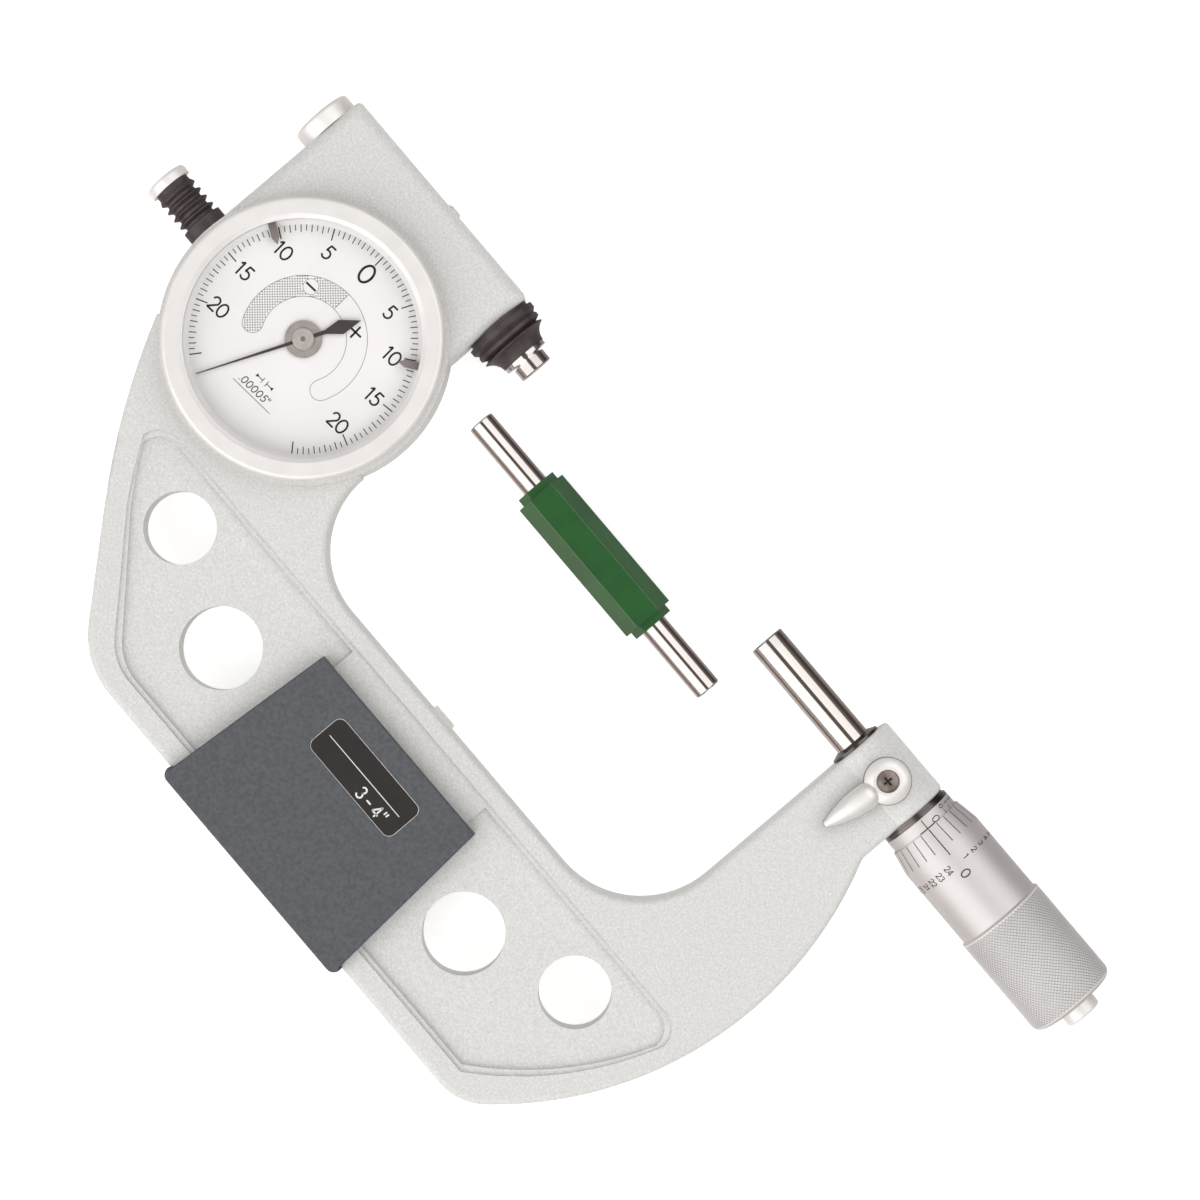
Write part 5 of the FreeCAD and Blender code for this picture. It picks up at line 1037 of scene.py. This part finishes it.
    def build(self, shop: Workshop) -> None:
        """Print every group of marks on the dial's face.

        Args:
            shop: the workshop that makes the pieces.
        """
        for name, ribbons, finish in (
            ("dial_ticks", self.ticks(), DIAL_INK),
            ("dial_numerals", self.numerals(), DIAL_INK),
            ("dial_fine_print", self.fine_print(), DIAL_INK),
            ("dial_band_outline", self.band(), THIN_INK),
            ("dial_band_hatching", self.hatching(), THIN_INK),
        ):
            shop.flat_print(name, ribbons, self.level, (finish, "frame", "dial_white"))


@dataclass
class Thimble:
    """The thimble with its cross knurl, its graduations and figures.

    A line's pair is where it ends and its width. A fade's pair is where the grooves' fading starts,
    from the grip's end, and how long it is. row_gaps are the gaps of the mesh's close rows: at the
    steps, at the bevel's end and before the round corner.
    """

    start: float = 129.1
    end: float = 178.6
    bore: float = 8.42
    edge: float = 8.77
    bevel_end: float = 134.4
    radius: float = 9.8
    knurl_start: float = 153.4
    knurl_step: float = 0.5
    knurl_radius: float = 10.4
    knurl_count: int = 72
    knurl_depth: float = 0.28
    corner: float = 2.0
    corner_turns: tuple[float, ...] = (60.0, 72.0, 82.0, 90.0)
    row_gaps: tuple[float, float, float] = (0.15, 0.3, 0.1)
    screw: float = 4.2
    screw_depth: float = 4.6
    divisions: int = 25
    fade_in: Pair = (0.6, 0.3)
    fade_out: Pair = (0.7, 0.5)
    line_start: float = 129.2
    line: Pair = (134.2, 0.2)
    nought_line: Pair = (136.2, 0.24)
    figures_at: float = 138.6
    nought_at: float = 141.3
    sharp_deg: float = 30.0

    def outer(self, x: Array) -> Array:
        """Return the outer radius along the thimble: edge, bevel, plain part, grip and round end.

        Args:
            x: places along the axis.

        Returns:
            The radius at each.
        """
        bevel = np.interp(x, [self.start, self.bevel_end], [self.edge, self.radius])
        step_end = self.knurl_start + self.knurl_step
        step = np.interp(x, [self.knurl_start, step_end], [self.radius, self.knurl_radius])
        into = np.clip(x - (self.end - self.corner), 0, self.corner)
        drop = self.corner - np.sqrt(self.corner**2 - into**2)
        return np.where(x < self.knurl_start, bevel, step) - drop

    def shell(self) -> tuple[Array, list[Array], Array]:
        """Work out the thimble's skin with its knurl, and the knurl's depth at each point.

        The skin is x along the axis and the angle around it. Two opposite helices of V grooves cut
        the grip: each groove's wave is the arcsine of |sin| over a right angle, which is nought in
        the groove and one half way to the next, and the radius drops by the depth times the square
        of what the smaller wave lacks of one. The grooves fade out at both ends of the grip.

        Returns:
            The points, the faces as one block, and the groove's depth at each point.
        """
        begin, bevel, end = self.knurl_start, self.bevel_end, self.end
        row, turn_row, last_row = self.row_gaps
        plain = [self.start, self.start + row, bevel - turn_row, bevel + turn_row, begin - row, begin]
        pitch = 2 * math.pi * self.knurl_radius / self.knurl_count
        last = end - self.corner + self.corner * np.sin(np.radians(self.corner_turns))
        grip = np.arange(begin + self.knurl_step, last[0] - last_row, pitch / 4)
        along = np.concatenate([plain, grip, last])
        around = np.linspace(0, 2 * np.pi, self.knurl_count * 4, endpoint=False)
        x, turn = np.meshgrid(along, around, indexing="ij")
        phase = (x - begin) / pitch * np.pi
        one, two = (
            np.arcsin(np.abs(np.sin(turn * self.knurl_count / 2 + way * phase))) * 2 / np.pi
            for way in (1, -1)
        )
        fades = ((x - begin, self.fade_in), (end - x, self.fade_out))
        near, far = (np.clip((inside - start) / length, 0, 1) for inside, (start, length) in fades)
        groove = near * far * (1 - np.minimum(one, two)) ** 2
        radius = self.outer(x) - self.knurl_depth * groove
        inner = (
            (end, self.screw), (end - self.screw_depth, self.screw), (end - self.screw_depth, self.bore),
            (self.start, self.bore),
        )
        x = np.concatenate([x, *(np.full((1, around.size), at) for at, _ in inner)])
        radius = np.concatenate([radius, *(np.full((1, around.size), ring) for _, ring in inner)])
        points = np.stack([x, radius * np.cos(around), radius * np.sin(around)], axis=-1).reshape(-1, 3)
        depth = np.zeros(x.shape)
        depth[: len(along)] = groove
        places = np.arange(x.size).reshape(x.shape)
        after, beside = np.roll(places, -1, axis=0), np.roll(places, -1, axis=1)
        across = np.roll(after, -1, axis=1)
        faces = np.stack([beside, across, after, places], axis=-1).reshape(-1, 4)
        return points, [faces], depth.reshape(-1)

    def graduations(self) -> Ribbons:
        """Gather the lines and figures in flat sizes: x along the axis, y round the plain radius.

        Returns:
            The strips.
        """
        ribbons = Ribbons()
        round_mm = 2 * math.pi * self.radius
        for number in range(self.divisions):
            y = number * round_mm / self.divisions
            look = (self.line, Lettering(1.35, 0.2), self.figures_at)
            if number == 0:
                look = (self.nought_line, Lettering(2.1, 0.28), self.nought_at)
            (reach, width), letters, at = look
            ribbons.bar((self.line_start, y), (reach, y), width)
            letters.write(ribbons, str(number), at, y, 0.0)
        return ribbons

    def build(self, shop: Workshop) -> None:
        """Make the knurled thimble in place of the plain one, and print its marks on it.

        Args:
            shop: the workshop that makes the pieces.
        """
        points, faces, depth = self.shell()
        shell = shop.piece("thimble_knurled", points, faces, SATIN_CHROME, "thimble", "satin_chrome")
        shell.data.materials.append(shop.material(KNURLED_CHROME))
        cut = depth[faces[0]].max(axis=1) > 0
        shell.data.polygons.foreach_set("material_index", cut.astype(np.int32))
        # The grooves' depth, which the knurl's finish reads to darken their bottoms as painted shade.
        shell.data.attributes.new("groove", "FLOAT", "POINT").data.foreach_set("value", depth)
        shell.data.set_sharp_from_angle(angle=math.radians(self.sharp_deg))
        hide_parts("thimble")
        ribbons = self.graduations()
        skin = self.outer(ribbons.flat()[:, 0]) + SKIN_LIFT
        shop.round_print("thimble_graduations", ribbons, self.radius, skin, "thimble")


@dataclass
class Sleeve:
    """The scale on the sleeve: index line, fortieths of an inch with figures, and the vernier.

    A line's pair is how far it reaches from the index line, and its width.
    """

    radius: float = 8.3
    start: float = 126.7
    zero: float = 128.95
    inch: float = 25.4
    past: float = 0.4
    index_width: float = 0.2
    tenth: Pair = (2.0, 0.22)
    fortieth: Pair = (1.3, 0.14)
    figures: Pair = (-0.45, 2.8)
    vernier_start: float = 40.0
    vernier_step: float = 12.96
    vernier_before: float = 1.0
    vernier_width: float = 0.13
    vernier_figures: float = 1.7

    def marks(self) -> Ribbons:
        """Gather the marks in flat sizes: x along the axis, y round the sleeve.

        Returns:
            The strips.
        """
        ribbons = Ribbons()
        last = self.zero + self.inch + self.past
        ribbons.bar((self.start, 0), (last, 0), self.index_width)
        for number in range(41):
            x = self.zero + number * self.inch / 40
            if number % 4 == 0:
                reach, width = self.tenth
                ribbons.bar((x, -reach), (x, reach), width)
                right, up = self.figures
                Lettering(1.7, 0.22).write(ribbons, str(number // 4 % 10), x + right, up, 0.0)
            else:
                reach, width = self.fortieth
                ribbons.bar((x, 0), (x, -reach), width)
        for number in range(11):
            y = math.radians(self.vernier_start + number * self.vernier_step) * self.radius
            ribbons.bar((self.zero - self.vernier_before, y), (last, y), self.vernier_width)
            Lettering(1.1, 0.17).write(ribbons, str(number % 10), self.zero - self.vernier_figures, y, 0.0)
        return ribbons

    def build(self, shop: Workshop) -> None:
        """Print the marks on the sleeve."""
        shop.round_print("sleeve_graduations", self.marks(), self.radius, self.radius + SKIN_LIFT, "frame")


@dataclass
class Label:
    """The print on the dark plate of the bow: its border, a rule and the measuring range."""

    centre: Pair = (42.6, -84.2)
    inset: float = 0.14
    corner: float = 1.8
    border_width: float = 0.11
    rule: Pair = (11.4, 0.18)
    words_drop: float = 2.75
    words_right: float = 5.2
    inches_right: float = 9.6
    lift: float = 0.015

    def border(self) -> Array:
        """Return the round-cornered line just inside the plate's edge.

        Returns:
            An n by 2 array.
        """
        low, high = (np.array(corner)[:2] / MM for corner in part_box("label_plate"))
        low, high = low + self.inset + self.corner, high - self.inset - self.corner
        places = ((high[0], high[1]), (low[0], high[1]), (low[0], low[1]), (high[0], low[1]))
        turns = [
            arc(*place, self.corner, self.corner, 90 * k, 90 * k + 90, 7) for k, place in enumerate(places)
        ]
        return joined(*turns, turns[0][0])

    def print_lines(self) -> Ribbons:
        """Gather the border, the rule and the range under it.

        Returns:
            The strips.
        """
        ribbons = Ribbons()
        x, y = self.centre
        ribbons.line(self.border(), self.border_width)
        reach, width = self.rule
        ribbons.bar((x - reach, y), (x + reach, y), width)
        letters = Lettering(2.6, 0.38, gap=0.29)
        for words, right in (("3-4", self.words_right), ('"', self.inches_right)):
            letters.write(ribbons, words, x + right, y - self.words_drop, 0.0)
        return ribbons

    def build(self, shop: Workshop) -> None:
        """Print the lines on the plate."""
        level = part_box("label_plate")[1].z / MM + self.lift
        shop.flat_print("label_print", self.print_lines(), level, (LABEL_INK, "frame", "dark_label"))


@dataclass
class ScrewSlot:
    """A black sheet at the bottom of the clamp screw's cross slot: painted shade."""

    centre: Pair = CLAMP_AXIS
    level: float = 10.3
    reach: float = 1.06
    half: float = 0.2

    def build(self, shop: Workshop) -> None:
        """Lay a cross of two crossing bars, the second cut in two where the first lies.

        Args:
            shop: the workshop that makes the pieces.
        """
        ribbons = Ribbons()
        x, y = self.centre
        ribbons.bar((x - self.reach, y), (x + self.reach, y), 2 * self.half)
        for way in (-1, 1):
            ribbons.bar((x, y + way * self.half), (x, y + way * self.reach), 2 * self.half)
        shop.flat_print("clamp_screw_slot", ribbons, self.level, (SLOT_SHADE, "clamp", "blackened_steel"))


@dataclass
class Studio:
    """A pale floor, soft lamps and the camera straight above, turned as in the photo.

    The picture's right side is the direction turn_deg from +X towards +Y. The photo shows
    width_mm across at the spindle's height. Each lamp has its place from the centre, its length
    and width, and its watts. The sky's shades stand at shares of sky_levels, which are heights.
    """

    centre: Pair = (46.5, -21.7)
    distance: float = 950.0
    width_mm: float = 258.3
    turn_deg: float = 49.64
    sensor: float = 36.0
    floor_level: float = -10.6
    floor_reach: float = 3000.0
    lamps: tuple[tuple[str, tuple[float, float, float], Pair, float], ...] = (
        ("box_upper", (60.0, 525.0, 696.0), (1400.0, 810.0), 4.9),
        ("box_lower", (60.0, -617.0, 617.0), (1400.0, 1130.0), 6.8),
    )
    sky_levels: Pair = (-1.17, 1.03)
    sky: tuple[tuple[float, str], ...] = (
        (0.0, "#FFFBF9"), (0.264, "#FFFBF9"), (0.386, "#A28881"), (0.509, "#A28881"), (0.659, "#E1E1E1"),
        (0.973, "#E1E1E1"), (0.98, "#908780"),
    )
    sky_lean: float = 0.08
    sky_power: float = 0.61
    side_power: float = 0.31

    def camera(self) -> None:
        """Make the camera, its lens fitted to the width that the photo shows."""
        data = bpy.data.cameras.new("camera")
        data.sensor_width = self.sensor
        data.lens = self.sensor * self.distance / self.width_mm
        data.clip_start, data.clip_end = 0.05, 10.0
        camera = bpy.data.objects.new("camera", data)
        camera.location = Vector((*self.centre, self.distance)) * MM
        camera.rotation_euler = (0.0, 0.0, math.radians(self.turn_deg))
        bpy.context.scene.collection.objects.link(camera)
        bpy.context.scene.camera = camera

    def floor(self) -> None:
        """Lay the pale floor just under the micrometer's back."""
        corners = np.array([[-1, -1], [1, -1], [1, 1], [-1, 1]]) * self.floor_reach + self.centre
        mesh = bpy.data.meshes.new("floor")
        points = np.column_stack([corners, np.full(4, self.floor_level)]) * MM
        mesh.from_pydata(points.tolist(), [], [(0, 1, 2, 3)])
        paper = bare_material("white_paper_sweep")
        inputs = {
            "Base Color": linear("#FBFBFB"),
            "Roughness": 0.9,
            "Emission Color": linear("#FFFFFF"),
            "Emission Strength": 0.45,
        }
        shader = add_node(paper.node_tree, "ShaderNodeBsdfPrincipled", inputs)
        add_node(paper.node_tree, "ShaderNodeOutputMaterial", {"Surface": shader.outputs["BSDF"]})
        mesh.materials.append(paper)
        floor = bpy.data.objects.new("floor", mesh)
        floor.visible_glossy = False
        bpy.context.scene.collection.objects.link(floor)

    def lamp(self, name: str, offset: tuple[float, float, float], size: Pair, power: float) -> None:
        """Hang one soft box that faces the centre at the spindle's height.

        Args:
            name: the lamp's name.
            offset: its place from there, in millimetres.
            size: its length along X and its width, in millimetres.
            power: watts.
        """
        data = bpy.data.lights.new(name, "AREA")
        data.shape = "RECTANGLE"
        data.size, data.size_y = size[0] * MM, size[1] * MM
        data.energy = power
        lamp = bpy.data.objects.new(name, data)
        place = (Vector((*self.centre, 0.0)) + Vector(offset)) * MM
        back = Vector(offset).normalized()
        up = back.cross(Vector((1.0, 0.0, 0.0))).normalized()
        turned = Matrix((up.cross(back), up, back)).transposed().to_4x4()
        lamp.matrix_world = Matrix.Translation(place) @ turned
        bpy.context.scene.collection.objects.link(lamp)

    def world(self) -> None:
        """Light the room by a soft sky over a pale floor, with dark walls between.

        The floor reaches higher on the side of -Y, which is also the brighter one. A small dark
        patch straight above is the camera.
        """
        world = bpy.data.worlds.new("studio_air")
        world.use_nodes = True
        tree = world.node_tree
        tree.nodes.clear()
        where = add_node(tree, "ShaderNodeTexCoord").outputs["Generated"]
        height = add_node(tree, "ShaderNodeSeparateXYZ", {"Vector": where}).outputs["Z"]
        terms = {0: where, 1: (0.0, -1.0, 0.0)}
        side = add_node(tree, "ShaderNodeVectorMath", terms, operation="DOT_PRODUCT").outputs["Value"]
        terms = {0: side, 1: self.sky_lean, 2: height}
        lean = add_node(tree, "ShaderNodeMath", terms, operation="MULTIPLY_ADD").outputs["Value"]
        low, high = self.sky_levels
        inputs = {"Value": lean, "From Min": low, "From Max": high}
        share = add_node(tree, "ShaderNodeMapRange", inputs).outputs["Result"]
        shades = add_node(tree, "ShaderNodeValToRGB", {"Fac": share})
        stops = shades.color_ramp.elements
        while len(stops) < len(self.sky):
            stops.new(0.5)
        for stop, (place, shade) in zip(stops, self.sky):
            stop.position = place
            stop.color = linear(shade)
        terms = {0: side, 1: self.side_power, 2: self.sky_power}
        power = add_node(tree, "ShaderNodeMath", terms, operation="MULTIPLY_ADD").outputs["Value"]
        inputs = {"Color": shades.outputs["Color"], "Strength": power}
        glow = add_node(tree, "ShaderNodeBackground", inputs)
        add_node(tree, "ShaderNodeOutputWorld", {"Surface": glow.outputs["Background"]})
        bpy.context.scene.world = world

    def build(self) -> None:
        """Set up the studio."""
        self.camera()
        self.floor()
        self.world()
        for lamp in self.lamps:
            self.lamp(*lamp)
        bpy.context.scene.view_settings.view_transform = "Standard"


def main() -> None:
    """Dress the carried-over nodes, then make each sub-assembly's own pieces."""
    logging.basicConfig(level=logging.INFO, format="%(name)s %(message)s")
    Studio().build()
    shop = Workshop()
    for finish, nodes in NODE_FINISHES.items():
        for node in nodes:
            shop.dress(node, finish)
        LOG.info("%s on %s", finish.name, ", ".join(nodes))
    for assembly in (Yielding(), Dial(), Thimble(), Sleeve(), Label(), ScrewSlot()):
        assembly.build(shop)


if __name__ == "__main__":
    main()
